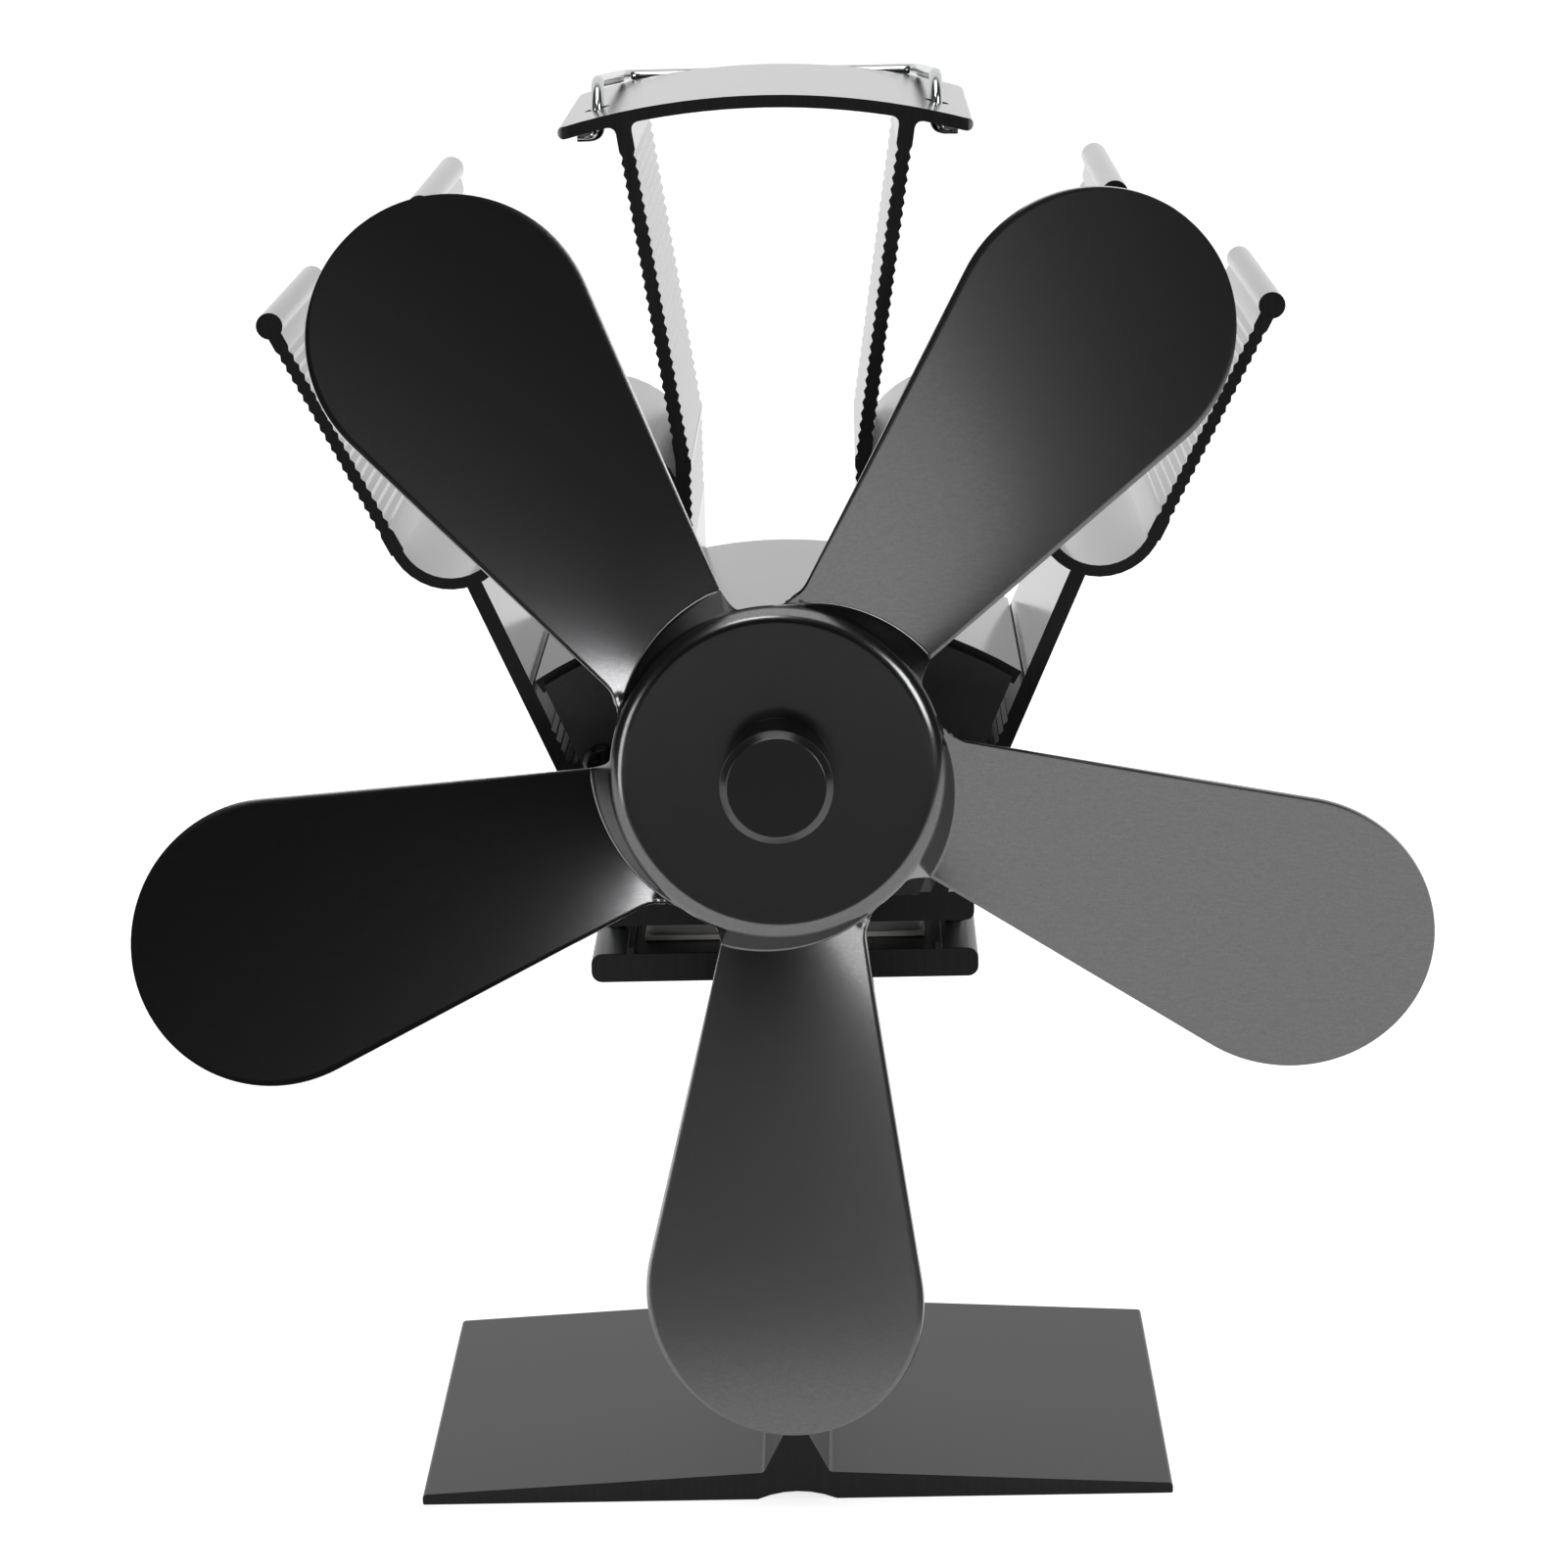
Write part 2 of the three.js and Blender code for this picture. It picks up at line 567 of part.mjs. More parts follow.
// The cross-section's right half as a list of overlapping outlines, and the middle ones.
function radiatorOutlines() {
  const wallStart = [wallFoot / 2, radiatorFootTop - radiatorFootRadius];
  const wallRun = wallLength + radiatorFootRadius;
  const cup = along([wallFoot / 2, radiatorFootTop], wallLean, wallLength);
  const cupOuter = cupRadius + cupThickness / 2;
  const outerRoot = [
    cup[0] + cupRadius * Math.cos(radians(outerFinLean)),
    cup[1] - cupRadius * Math.sin(radians(outerFinLean)),
  ];
  const middleRoot = [
    cup[0] - cupRadius * Math.cos(radians(middleFinLean)),
    cup[1] + cupRadius * Math.sin(radians(middleFinLean)),
  ];
  const innerBase = roofTop - roofThickness;
  const archCentre = [0, archTop - archRadius];
  const roofHalf = THREE.MathUtils.radToDeg(Math.asin((innerX + wallFoot / 2) / roofRadius));
  const archHalf = THREE.MathUtils.radToDeg(Math.asin((archWidth - archThickness) / 2 / archRadius));
  const archEnd = arc(archCentre, archRadius - archThickness / 2, 90 - archHalf, 90 - archHalf, 1)[0];
  const port = [portSpacing / 2, axisHeight - wheelForward * Math.tan(lean)];
  // The port's neck ends in the middle of the wall, however far apart the ports are.
  const neckRun = (wallFoot / 2 - port[0]) * Math.cos(radians(wallLean))
    + (port[1] - radiatorFootTop) * Math.sin(radians(wallLean));
  const wallRibs = [ribMargin + 2 * radiatorFootRadius, wallLength / 2];
  const cupFrom = 180 - middleFinLean - cupOverlap;
  const cupTo = 360 - outerFinLean + cupOverlap;
  const right = [
    wall(wallStart, wallLean, wallRun - cupRadius, wallThickness, wallRibs),
    arcWall(cup, cupOuter, cupThickness, cupFrom, cupTo, 18),
    wall(outerRoot, outerFinLean, outerFinLength, finThickness,
      [ribMargin, outerFinLength - ribMargin], [ribMargin, outerFinLength - ribMargin]),
    wall(middleRoot, middleFinLean, middleFinLength, finThickness,
      [3 * ribMargin, middleFinLength - ribMargin], [ribMargin, middleFinLength - ribMargin]),
    circleAt(along(outerRoot, outerFinLean, outerFinLength), beadRadius, smallSides),
    circleAt(along(middleRoot, middleFinLean, middleFinLength), beadRadius, smallSides),
    wall([innerX, innerBase], 0, innerKink - innerBase, innerWallThickness,
      [innerKink - innerBase - 4 * ribMargin, innerKink - innerBase]),
    wall([innerX, innerKink], innerFinLean, innerRun, innerWallThickness,
      [0, innerRun - ribMargin], [ribMargin, innerRun - ribMargin]),
    ...archFillets([innerX, innerKink], innerFinLean, innerRun),
    arcWall([hillCentreX, hillCentreZ], hillRadius, hillThickness, hillEnds[0], hillEnds[1], 16),
    circleAt(archEnd, archThickness / 2, screwSides),
    circleAt(port, portRadius, smallSides),
    wall(port, 90 + wallLean, neckRun, portNeck),
  ];
  const middle = [
    rounded([
      [radiatorFootWidth / 2, radiatorBase, radiatorFootRadius],
      [radiatorFootWidth / 2, radiatorFootTop, radiatorFootRadius],
      [-radiatorFootWidth / 2, radiatorFootTop, radiatorFootRadius],
      [-radiatorFootWidth / 2, radiatorBase, radiatorFootRadius],
    ]),
    arcWall([0, roofTop - roofRadius], roofRadius, roofThickness, 90 - roofHalf, 90 + roofHalf, 20),
    arcWall(archCentre, archRadius, archThickness, 90 - archHalf, 90 + archHalf, 20),
  ];
  return { all: [...middle, ...right, ...right.map(mirrored)], port };
}

function radiator() {
  const { all, port } = radiatorOutlines();
  const bar = join(all.map((outline) => solid(prism(outline, radiatorSetback, radiatorDepth))));
  const bores = [-1, 1].map((right) => {
    const bore = rodY(portBore / 2, radiatorSetback - cutOver, radiatorBack + cutOver, screwSides);
    bore.translate(right * port[0], 0, port[1]);
    return solid(bore);
  });
  const handleHoles = [-1, 1].map((right) => (
    solid(rodZ(handleHole / 2, [right * handleHoleX, radiatorSetback + handleInset],
      archBelow(), archTop + cutOver, smallSides))));
  const clampHoles = clampPlaces().map((place) => (
    solid(rodZ(clampShank / 2 + seatGap, place, radiatorBase - cutOver, radiatorBase + clampDepth + seatGap,
      screwSides))));
  return surface(cut(bar, [...bores, ...handleHoles, ...clampHoles, ...archCorners()]));
}

// A height just under both ends of the arched plate.
function archBelow() {
  return archTop - archRadius + Math.sqrt(archRadius ** 2 - archWidth ** 2 / 4) - archThickness - cutOver;
}

// What is left of a square corner outside its round, for the four corners of the arched plate.
function archCorners() {
  const x = archWidth / 2 + cutOver;
  const inner = archWidth / 2 - archCorner;
  const quarter = arc([inner, archCorner], archCorner, 0, -90, 6);
  const outline = [...quarter, [inner, -cutOver], [x, -cutOver], [x, archCorner]];
  const bottom = archBelow();
  return [-1, 1].flatMap((right) => [-1, 1].map((front) => {
    const shape = new THREE.Shape(outline.map(([u, v]) => new THREE.Vector2(u, v)));
    const depth = archTop - bottom + cutOver;
    const geometry = new THREE.ExtrudeGeometry(shape, { depth, bevelEnabled: false });
    geometry.translate(0, 0, bottom);
    const corner = solid(geometry);
    const sided = right > 0 ? corner : corner.mirror([1, 0, 0]);
    return front > 0
      ? sided.translate([0, radiatorSetback, 0])
      : sided.mirror([0, 1, 0]).translate([0, radiatorBack, 0]);
  }));
}

// Everything on the wheel's axis is drawn about the Y axis, with the middle of the blades at y = 0,
// and leans back with this group.
const axis = new THREE.Group();
axis.position.set(0, wheelY, axisHeight);
axis.rotation.x = -lean;
model.add(axis);

// Fan wheel: the drawn hub and the blades, stamped from one sheet. The sheet's front is worked out
// first, in u along the blade's axis, v across it towards the trailing edge, and the depth behind the
// hub's face. Angles round the hub are in degrees from the blade's axis.
function polar(radius, angle) {
  return new THREE.Vector2(radius, 0).rotateAround(new THREE.Vector2(), radians(angle));
}

// Depth of a blade's flat face.
function bladeDepth({ x: u, y: v }) {
  return bladeDrop - (u - hubRidge) * Math.tan(radians(bladeSweep)) - v * Math.tan(radians(bladePitch));
}

// The round tip seen along the wheel's axis: an ellipse, because the blade is pitched and swept.
function tipPoint(angle) {
  const middle = hubRidge + (bladeReach - hubRidge) * Math.cos(radians(bladeSweep));
  return new THREE.Vector2(
    middle + bladeTip * Math.cos(radians(bladeSweep)) * Math.cos(angle),
    bladeTip * Math.cos(radians(bladePitch)) * Math.sin(angle),
  );
}

// Where the straight edge from a corner of the root touches the tip.
function tipTouch(corner, hand) {
  const middle = (tipPoint(0).x + tipPoint(Math.PI).x) / 2;
  const x = (corner.x - middle) / (tipPoint(0).x - middle);
  const y = corner.y / tipPoint(Math.PI / 2).y;
  return Math.atan2(y, x) - hand * Math.acos(1 / Math.hypot(x, y));
}

// The fillet that leads from the notch into the trailing edge.
function notchCorner() {
  const corner = polar(hubRidge, bladeTrailing);
  const edge = tipPoint(tipTouch(corner, 1)).sub(corner).normalize();
  const aside = new THREE.Vector2(-edge.y, edge.x);
  const start = corner.clone().addScaledVector(aside, notchFillet);
  const run = start.dot(edge);
  const along = Math.sqrt(run ** 2 - start.lengthSq() + (notchRadius + notchFillet) ** 2) - run;
  const centre = start.addScaledVector(edge, along);
  return { centre, from: centre.angle() + Math.PI, to: aside.angle() + Math.PI };
}

// The blade's two edges, as rows from the root to the tip.
function bladeEdges() {
  const leadingCorner = polar(hubRidge, bladeLeading);
  const { centre, from, to } = notchCorner();
  const leadingTouch = tipTouch(leadingCorner, -1);
  const trailingTouch = tipTouch(polar(hubRidge, bladeTrailing), 1);
  const rows = [];
  for (let i = 1; i <= filletSteps; i += 1) {
    const share = i / filletSteps;
    const leading = leadingCorner.clone().lerp(tipPoint(leadingTouch), share * rootShare);
    const spot = new THREE.Vector2(notchFillet, 0);
    spot.rotateAround(new THREE.Vector2(), THREE.MathUtils.lerp(from, to, share)).add(centre);
    rows.push([leading, spot]);
  }
  for (let i = 0; i <= tipSteps; i += 1) {
    const left = 1 - i / tipSteps;
    rows.push([tipPoint(leadingTouch * left), tipPoint(trailingTouch * left)]);
  }
  return rows;
}

// Depth of the ridge round the hub, in a straight slope from blade to blade along each notch.
function ridgeDepth(angle) {
  const last = notchCorner().centre.angle() / radians(1);
  if (angle <= last) {
    return bladeDepth(polar(hubRidge, angle));
  }
  const next = 360 / bladeCount + bladeLeading;
  const share = (angle - last) / (next - last);
  return THREE.MathUtils.lerp(ridgeDepth(last), ridgeDepth(bladeLeading), share);
}

// Radius where the hub's wall ends: the ridge along the blade, the notch's bottom beside it.
function wallEnd(angle) {
  const last = notchCorner().centre.angle() / radians(1);
  if (angle <= bladeTrailing) {
    return hubRidge;
  }
  const share = Math.min((angle - bladeTrailing) / (last - bladeTrailing), 1);
  return THREE.MathUtils.lerp(hubRidge, notchRadius, share);
}

// One ray of the hub from its hole to the end of its wall, as [radius, depth]: the face, the round and
// the wall, which is tangent to the round and aims at the ridge.
function hubRay(angle) {
  const width = hubRidge - hubFaceRadius;
  const rise = ridgeDepth(angle) - hubFillet;
  const slope = Math.atan2(rise, width) + Math.asin(hubFillet / Math.hypot(width, rise));
  const ray = [[hubHole / 2 + seatGap, 0]];
  for (let i = 0; i <= filletSteps; i += 1) {
    const turn = slope * i / filletSteps;
    ray.push([hubFaceRadius + hubFillet * Math.sin(turn), hubFillet * (1 - Math.cos(turn))]);
  }
  const end = wallEnd(angle);
  ray.push([end, ridgeDepth(angle) - (hubRidge - end) * Math.tan(slope)]);
  return ray;
}

// The angles of the hub's rays for one blade and the notch behind it.
function hubAngles() {
  const last = notchCorner().centre.angle() / radians(1);
  const next = 360 / bladeCount + bladeLeading;
  const share = (from, to, count) => (
    Array.from({ length: count }, (_, i) => THREE.MathUtils.lerp(from, to, i / count)));
  return [...share(bladeLeading, last, bladeColumns), ...share(last, next, notchColumns)];
}

// The sheet's front face as points and triangles, each blade with its piece of the hub.
function wheelFront() {
  const points = [];
  const index = [];
  const angles = hubAngles();
  const rings = hubRay(0).length;
  const rows = bladeEdges();
  const rays = angles.map(hubRay);
  const put = (u, v, depth, turn) => {
    const spot = new THREE.Vector2(u, v).rotateAround(new THREE.Vector2(), turn);
    points.push(new THREE.Vector3(spot.x, depth - bladeDrop, spot.y));
    return points.length - 1;
  };
  const hub = [];
  for (let blade = 0; blade < bladeCount; blade += 1) {
    const turn = radians(bladeFirst + 360 * blade / bladeCount);
    angles.forEach((angle, i) => {
      hub.push(rays[i].map(([radius, depth]) => put(...polar(radius, angle).toArray(), depth, turn)));
    });
  }
  hub.forEach((ray, i) => {
    const next = hub[(i + 1) % hub.length];
    for (let k = 0; k < rings - 1; k += 1) {
      index.push(ray[k], ray[k + 1], next[k + 1], ray[k], next[k + 1], next[k]);
    }
  });
  for (let blade = 0; blade < bladeCount; blade += 1) {
    const turn = radians(bladeFirst + 360 * blade / bladeCount);
    const first = blade * angles.length;
    let below = hub.slice(first, first + bladeColumns + 1).map((ray) => ray.at(-1));
    rows.forEach(([leading, trailing], k) => {
      const tip = k === rows.length - 1;
      const row = Array.from({ length: tip ? 1 : bladeColumns + 1 }, (_, i) => {
        const spot = leading.clone().lerp(trailing, i / bladeColumns);
        return put(spot.x, spot.y, bladeDepth(spot), turn);
      });
      for (let i = 0; i < bladeColumns; i += 1) {
        if (tip) {
          index.push(below[i], row[0], below[i + 1]);
        } else {
          index.push(below[i], row[i], row[i + 1], below[i], row[i + 1], below[i + 1]);
        }
      }
      below = row;
    });
  }
  return { points, index };
}

// Gives an open sheet its thickness, away from the side that its triangles face.
function thicken({ points, index }, thickness) {
  const front = new THREE.BufferGeometry().setFromPoints(points);
  front.setIndex(index);
  front.computeVertexNormals();
  const normal = front.attributes.normal;
  const back = points.map((point, i) => (
    point.clone().addScaledVector(new THREE.Vector3().fromBufferAttribute(normal, i), -thickness)));
  const count = points.length;
  const edges = new Map();
  const all = [...index];
  for (let i = 0; i < index.length; i += 3) {
    const [a, b, c] = index.slice(i, i + 3);
    all.push(count + a, count + c, count + b);
    [[a, b], [b, c], [c, a]].forEach(([from, to]) => {
      if (!edges.delete(`${to} ${from}`)) {
        edges.set(`${from} ${to}`, [from, to]);
      }
    });
  }
  edges.forEach(([from, to]) => {
    all.push(to, from, count + from, to, count + from, count + to);
  });
  const geometry = new THREE.BufferGeometry().setFromPoints([...points, ...back]);
  geometry.setIndex(all);
  geometry.computeVertexNormals();
  return geometry;
}

function hubBoss() {
  const front = -bladeDrop - bossLength;
  const back = -bladeDrop - seatGap;
  const spigotEnd = back + spigotLength;
  const bore = shaftDiameter / 2 + seatGap;
  return turned([
    [0, front], [bossRadius - bossChamfer, front], [bossRadius, front + bossChamfer], [bossRadius, back],
    [hubHole / 2, back], [hubHole / 2, spigotEnd], [bore, spigotEnd], [bore, front + shaftEnd - seatGap],
    [0, front + shaftEnd - seatGap],
  ], roundSides);
}

function hubRing() {
  const front = -bladeDrop + sheetThickness + seatGap;
  return tubeY(ringRadius, hubHole / 2 + seatGap, front, front + ringThickness, roundSides);
}

// Motor
function motorCan() {
  const back = motorFront + canLength;
  const mouth = bearingRadius + seatGap;
  const neck = motorFront - neckLength;
  const can = solid(turned([
    [mouth, neck], [neckRadius, neck], [neckRadius, motorFront], [canRadius, motorFront], [canRadius, back],
    [canRadius - canWall, back], [canRadius - canWall, motorFront + canWall], [mouth, motorFront + canWall],
    [mouth, neck],
  ], roundSides));
  return surface(cut(can, motorScrewPlaces().map((z) => {
    const hole = rodY(motorScrewShank / 2 + seatGap, motorFront - cutOver, motorFront + canWall + cutOver,
      screwSides);
    hole.translate(0, 0, z);
    return solid(hole);
  })));
}

function motorScrewPlaces() {
  return [motorScrewSpacing / 2, -motorScrewSpacing / 2];
}

function bearing(from) {
  return tubeY(bearingRadius, shaftDiameter / 2 + runGap, from, from + bearingLength, smallSides);
}

function magnet(towards) {
  const outer = canRadius - canWall - seatGap;
  const from = towards - magnetAngle / 2;
  const outline = arcWall([0, 0], outer, magnetThickness, from, from + magnetAngle, 12);
  return prism(outline, motorFront + magnetStart, magnetLength);
}

function coreRadius() {
  return canRadius - canWall - seatGap - magnetThickness - airGap;
}

function armatureCore() {
  const shoe = coreRadius();
  const pieces = [tubeY(coreHub, shaftDiameter / 2 + seatGap, 0, coreLength, smallSides)];
  for (let i = 0; i < poleCount; i += 1) {
    const angle = 90 + 360 * i / poleCount;
    const neck = new THREE.BoxGeometry(poleNeck, coreLength, shoe - coreHub);
    neck.translate(0, coreLength / 2, (shoe + coreHub - poleShoe) / 2);
    neck.rotateY(radians(90 - angle));
    pieces.push(neck);
    pieces.push(prism(arcWall([0, 0], shoe, poleShoe, angle - poleAngle / 2, angle + poleAngle / 2, 10),
      0, coreLength));
  }
  const core = join(pieces.map(solid));
  return surface(core.translate([0, motorFront + coreStart, 0]));
}

// A coil is a flat ring round the neck of its pole.
function armatureCoil(i) {
  const inner = coreHub + coilThickness / 2;
  const wide = poleNeck + 2 * seatGap;
  const shoe = coreRadius() - poleShoe - seatGap;
  const outer = Math.sqrt(shoe ** 2 - (wide / 2 + coilThickness) ** 2);
  const long = coreLength + 2 * seatGap;
  const height = outer - inner;
  const ring = solid(new THREE.BoxGeometry(wide + 2 * coilThickness, long + 2 * coilThickness, height));
  const hole = solid(new THREE.BoxGeometry(wide, long, height + cutOver));
  const geometry = surface(ring.subtract(hole));
  geometry.translate(0, motorFront + coreStart + coreLength / 2, (inner + outer) / 2);
  geometry.rotateY(radians(-360 * i / poleCount));
  return geometry;
}

function commutator() {
  const from = motorFront + commutatorStart;
  const drum = solid(tubeY(commutatorRadius, shaftDiameter / 2 + seatGap, from, from + commutatorLength,
    smallSides));
  const slots = Array.from({ length: poleCount }, (_, i) => {
    const long = commutatorLength * commutatorSlotShare;
    const slot = new THREE.BoxGeometry(seatGap, long, commutatorRadius / 4);
    slot.translate(0, from + long / 2, commutatorRadius);
    slot.rotateY(radians(360 * i / poleCount));
    return solid(slot);
  });
  return surface(cut(drum, slots));
}

function endCap() {
  const front = motorFront + canLength + seatGap;
  const back = front + capThickness;
  const cavity = bearingRadius + seatGap;
  const cap = solid(turned([
    [shaftDiameter / 2 + seatGap, front], [canRadius, front], [canRadius, back], [capBoss, back],
    [capBoss, back + capBossLength], [cavity, back + capBossLength], [cavity, front + capThickness / 4],
    [shaftDiameter / 2 + seatGap, front + capThickness / 4], [shaftDiameter / 2 + seatGap, front],
  ], roundSides));
  const slots = [-1, 1].map((right) => {
    const slot = new THREE.BoxGeometry(terminalThickness + 2 * seatGap, capThickness + 2 * cutOver,
      terminalWidth + 2 * seatGap);
    slot.translate(right * terminalSpacing / 2, (front + back) / 2, 0);
    return solid(slot);
  });
  return surface(cut(cap, slots));
}

// A terminal is a flat tab through the end cap with the brush on its inner end.
function terminal(right) {
  const from = motorFront + commutatorStart + seatGap;
  const to = motorFront + canLength + capThickness + terminalTail;
  const tab = new THREE.BoxGeometry(terminalThickness, to - from, terminalWidth);
  tab.translate(terminalSpacing / 2, (from + to) / 2, 0);
  const inner = commutatorRadius + seatGap;
  const brush = new THREE.BoxGeometry(terminalSpacing / 2 - inner, brushThickness, terminalWidth);
  brush.translate((terminalSpacing / 2 + inner) / 2, from + commutatorLength / 2, 0);
  const geometry = surface(solid(tab).add(solid(brush)));
  geometry.rotateY(right > 0 ? 0 : Math.PI);
  return geometry;
}

// A screw along Y with its head in front, its tip at `tip`.
function screwY(shank, head, headHeight, seat, tip) {
  const body = solid(turned([
    [0, seat - headHeight], [head / 2 - headHeight / 3, seat - headHeight], [head / 2, seat - headHeight / 2],
    [head / 2, seat], [shank / 2, seat], [shank / 2, tip - shank / 2], [0, tip],
  ], screwSides));
  const slots = [0, Math.PI / 2].map((turn) => {
    const slot = new THREE.BoxGeometry(head * recessShare, headHeight, head * slotShare);
    slot.rotateY(turn);
    slot.translate(0, seat - headHeight, 0);
    return solid(slot);
  });
  return surface(cut(body, slots));
}

// The bracket's upright plate: it closes the front of the motor bay, between the foot and the roof.
function bracketPlate(port) {
  const inset = (wallThickness / 2 + bracketSlit) / Math.cos(radians(wallLean));
  const corner = [wallFoot / 2 - inset, radiatorFootTop];
  // The side runs beside the wall up to the middle of the roof.
  const roofCentre = [0, roofTop - roofRadius];
  const radius = roofRadius - roofThickness / 2;
  const from = [corner[0] - roofCentre[0], corner[1] - roofCentre[1]];
  const ahead = from[0] * Math.sin(radians(wallLean)) + from[1] * Math.cos(radians(wallLean));
  const run = Math.sqrt(ahead ** 2 - from[0] ** 2 - from[1] ** 2 + radius ** 2) - ahead;
  const top = along(corner, wallLean, run);
  const half = THREE.MathUtils.radToDeg(Math.atan2(top[0], top[1] - roofCentre[1]));
  const outline = [corner, ...arc(roofCentre, radius, 90 - half, 90 + half, roundSides / 2)];
  outline.push([-corner[0], corner[1]]);
  const back = radiatorSetback - seatGap;
  const plate = solid(prism(outline, back - bracketThickness, bracketThickness));
  const boreRadius = canRadius / Math.cos(lean) + seatGap;
  const bore = rodY(boreRadius, back - 2 * bracketThickness, back + cutOver, roundSides);
  bore.translate(0, 0, port[1]);
  const holes = [-1, 1].map((right) => {
    const hole = rodY(bracketScrewShank / 2 + seatGap, back - 2 * bracketThickness, back + cutOver,
      screwSides);
    hole.translate(right * port[0], 0, port[1]);
    return solid(hole);
  });
  return cut(plate, [solid(bore), ...holes]);
}

// Motor bracket: a leaning disc that carries the motor, in one piece with the upright plate
function motorBracket(port) {
  const discBack = motorFront - seatGap;
  const discFront = discBack - bracketThickness;
  const disc = solid(tubeY(bracketDisc, neckRadius + seatGap, discFront, discBack, roundSides));
  const holes = motorScrewPlaces().map((z) => {
    const hole = rodY(motorScrewShank / 2 + seatGap, discBack - 2 * bracketThickness, discBack + cutOver,
      screwSides);
    hole.translate(0, 0, z);
    return solid(hole);
  });
  const leaning = cut(disc, holes).rotate([-axisLean, 0, 0]).translate([0, wheelY, axisHeight]);
  return surface(leaning.add(bracketPlate(port)));
}

// Wire handle: each end is part of a ring about the handle's own axis and passes through its hole,
// so that the handle turns without leaving the plate.
function handleAxis() {
  const sag = archRadius - Math.sqrt(archRadius ** 2 - handleHoleX ** 2);
  return [radiatorSetback + handleInset + handleRing, archTop - archThickness / 2 - sag];
}

function handlePath() {
  const [y, z] = handleAxis();
  const x = handleHoleX;
  const ring = (degrees) => {
    const angle = radians(degrees);
    return new THREE.Vector3(x, y - handleRing * Math.cos(angle), z + handleRing * Math.sin(angle));
  };
  const path = new THREE.CurvePath();
  const hookRoot = ring(hookBend - handleHook);
  const hookCorner = ring(-handleHook);
  const hookTurn = hookCorner.clone().add(new THREE.Vector3(hookLength / 2, 0, 0));
  const hookTip = hookCorner.clone().add(new THREE.Vector3(hookLength, 0, 0));
  path.add(new THREE.LineCurve3(hookTip, hookTurn));
  path.add(new THREE.QuadraticBezierCurve3(hookTurn, hookCorner, hookRoot));
  const ringSteps = 7;
  for (let k = 0; k < ringSteps; k += 1) {
    const start = hookBend - handleHook;
    const step = (90 - start) / ringSteps;
    path.add(new THREE.LineCurve3(ring(start + k * step), ring(start + (k + 1) * step)));
  }
  // The arms lie on the plate's back edge, and so does the crossbar's height.
  const barX = x - handleNarrow;
  const edgeZ = archTop - archRadius + Math.sqrt(archRadius ** 2 - barX ** 2);
  const restZ = edgeZ + wireDiameter / 2 + handleRest;
  const fall = (z + handleRing - restZ) / (radiatorBack - y);
  const barY = radiatorBack + handleBehind;
  const barZ = restZ - fall * handleBehind;
  const corner = new THREE.Vector3(barX, barY, barZ);
  const back = corner.clone().sub(ring(90)).normalize();
  const armEnd = corner.clone().addScaledVector(back, -handleBend);
  const barStart = corner.clone().add(new THREE.Vector3(-handleBend, 0, 0));
  path.add(new THREE.LineCurve3(ring(90), armEnd));
  path.add(new THREE.QuadraticBezierCurve3(armEnd, corner, barStart));
  return path;
}

// The wire's middle line: the right half from the hook to the crossbar, then the left half.
function handlePoints() {
  const half = [];
  handlePath().curves.forEach((curve) => {
    const steps = curve.isLineCurve3 ? 1 : 5;
    curve.getPoints(steps).forEach((point) => {
      if (half.length === 0 || half.at(-1).distanceTo(point) > wireDiameter / 20) {
        half.push(point);
      }
    });
  });
  const left = half.map((point) => new THREE.Vector3(-point.x, point.y, point.z)).reverse();
  return [...half, ...left];
}

// A round wire along a list of points, as rings of vertices with a flat cap at each end.
function wire(points, radius, sides) {
  const positions = [];
  const index = [];
  const tangents = points.map((point, i) => (
    points[Math.min(i + 1, points.length - 1)].clone().sub(points[Math.max(i - 1, 0)]).normalize()));
  let across = new THREE.Vector3(0, 1, 0).cross(tangents[0]).normalize();
  points.forEach((point, i) => {
    across = across.clone().addScaledVector(tangents[i], -across.dot(tangents[i])).normalize();
    const up = tangents[i].clone().cross(across);
    for (let k = 0; k < sides; k += 1) {
      const angle = 2 * Math.PI * k / sides;
      const spot = point.clone().addScaledVector(across, radius * Math.cos(angle));
      spot.addScaledVector(up, radius * Math.sin(angle));
      positions.push(spot.x, spot.y, spot.z);
    }
  });
  const last = (points.length - 1) * sides;
  for (let k = 0; k < sides; k += 1) {
    const next = (k + 1) % sides;
    for (let ring = 0; ring < last; ring += sides) {
      index.push(ring + k, ring + next, ring + sides + k, ring + next, ring + sides + next, ring + sides + k);
    }
    if (k > 0 && k < sides - 1) {
      index.push(0, k + 1, k, last, last + k, last + k + 1);
    }
  }
  const geometry = new THREE.BufferGeometry();
  geometry.setAttribute('position', new THREE.Float32BufferAttribute(positions, 3));
  geometry.setIndex(index);
  geometry.computeVertexNormals();
  return geometry;
}

// Assembly
add(model, 'base_extrusion', baseExtrusion(), anodised);
addModule();
add(model, 'module_lead_red', lead(1), redLead);
add(model, 'module_lead_black', lead(-1), blackLead);
const corners = ['front_left', 'front_right', 'back_left', 'back_right'];
clampPlaces().forEach((place, i) => {
  add(model, `clamp_screw_${corners[i]}`, clampScrew(place), zinc);
  add(model, `clamp_washer_${corners[i]}`, clampWasher(place), nylon);
});
add(model, 'radiator', radiator(), anodised);

const { port } = radiatorOutlines();
add(model, 'motor_bracket', motorBracket(port), blackSheet);
[-1, 1].forEach((right) => {
  const seat = radiatorSetback - 2 * seatGap - bracketThickness;
  const screw = screwY(bracketScrewShank, bracketScrewHead, bracketScrewHeadHeight, seat,
    seat + bracketScrewLength);
  screw.translate(right * port[0], 0, port[1]);
  add(model, `bracket_screw_${right > 0 ? 'right' : 'left'}`, screw, zinc);
});

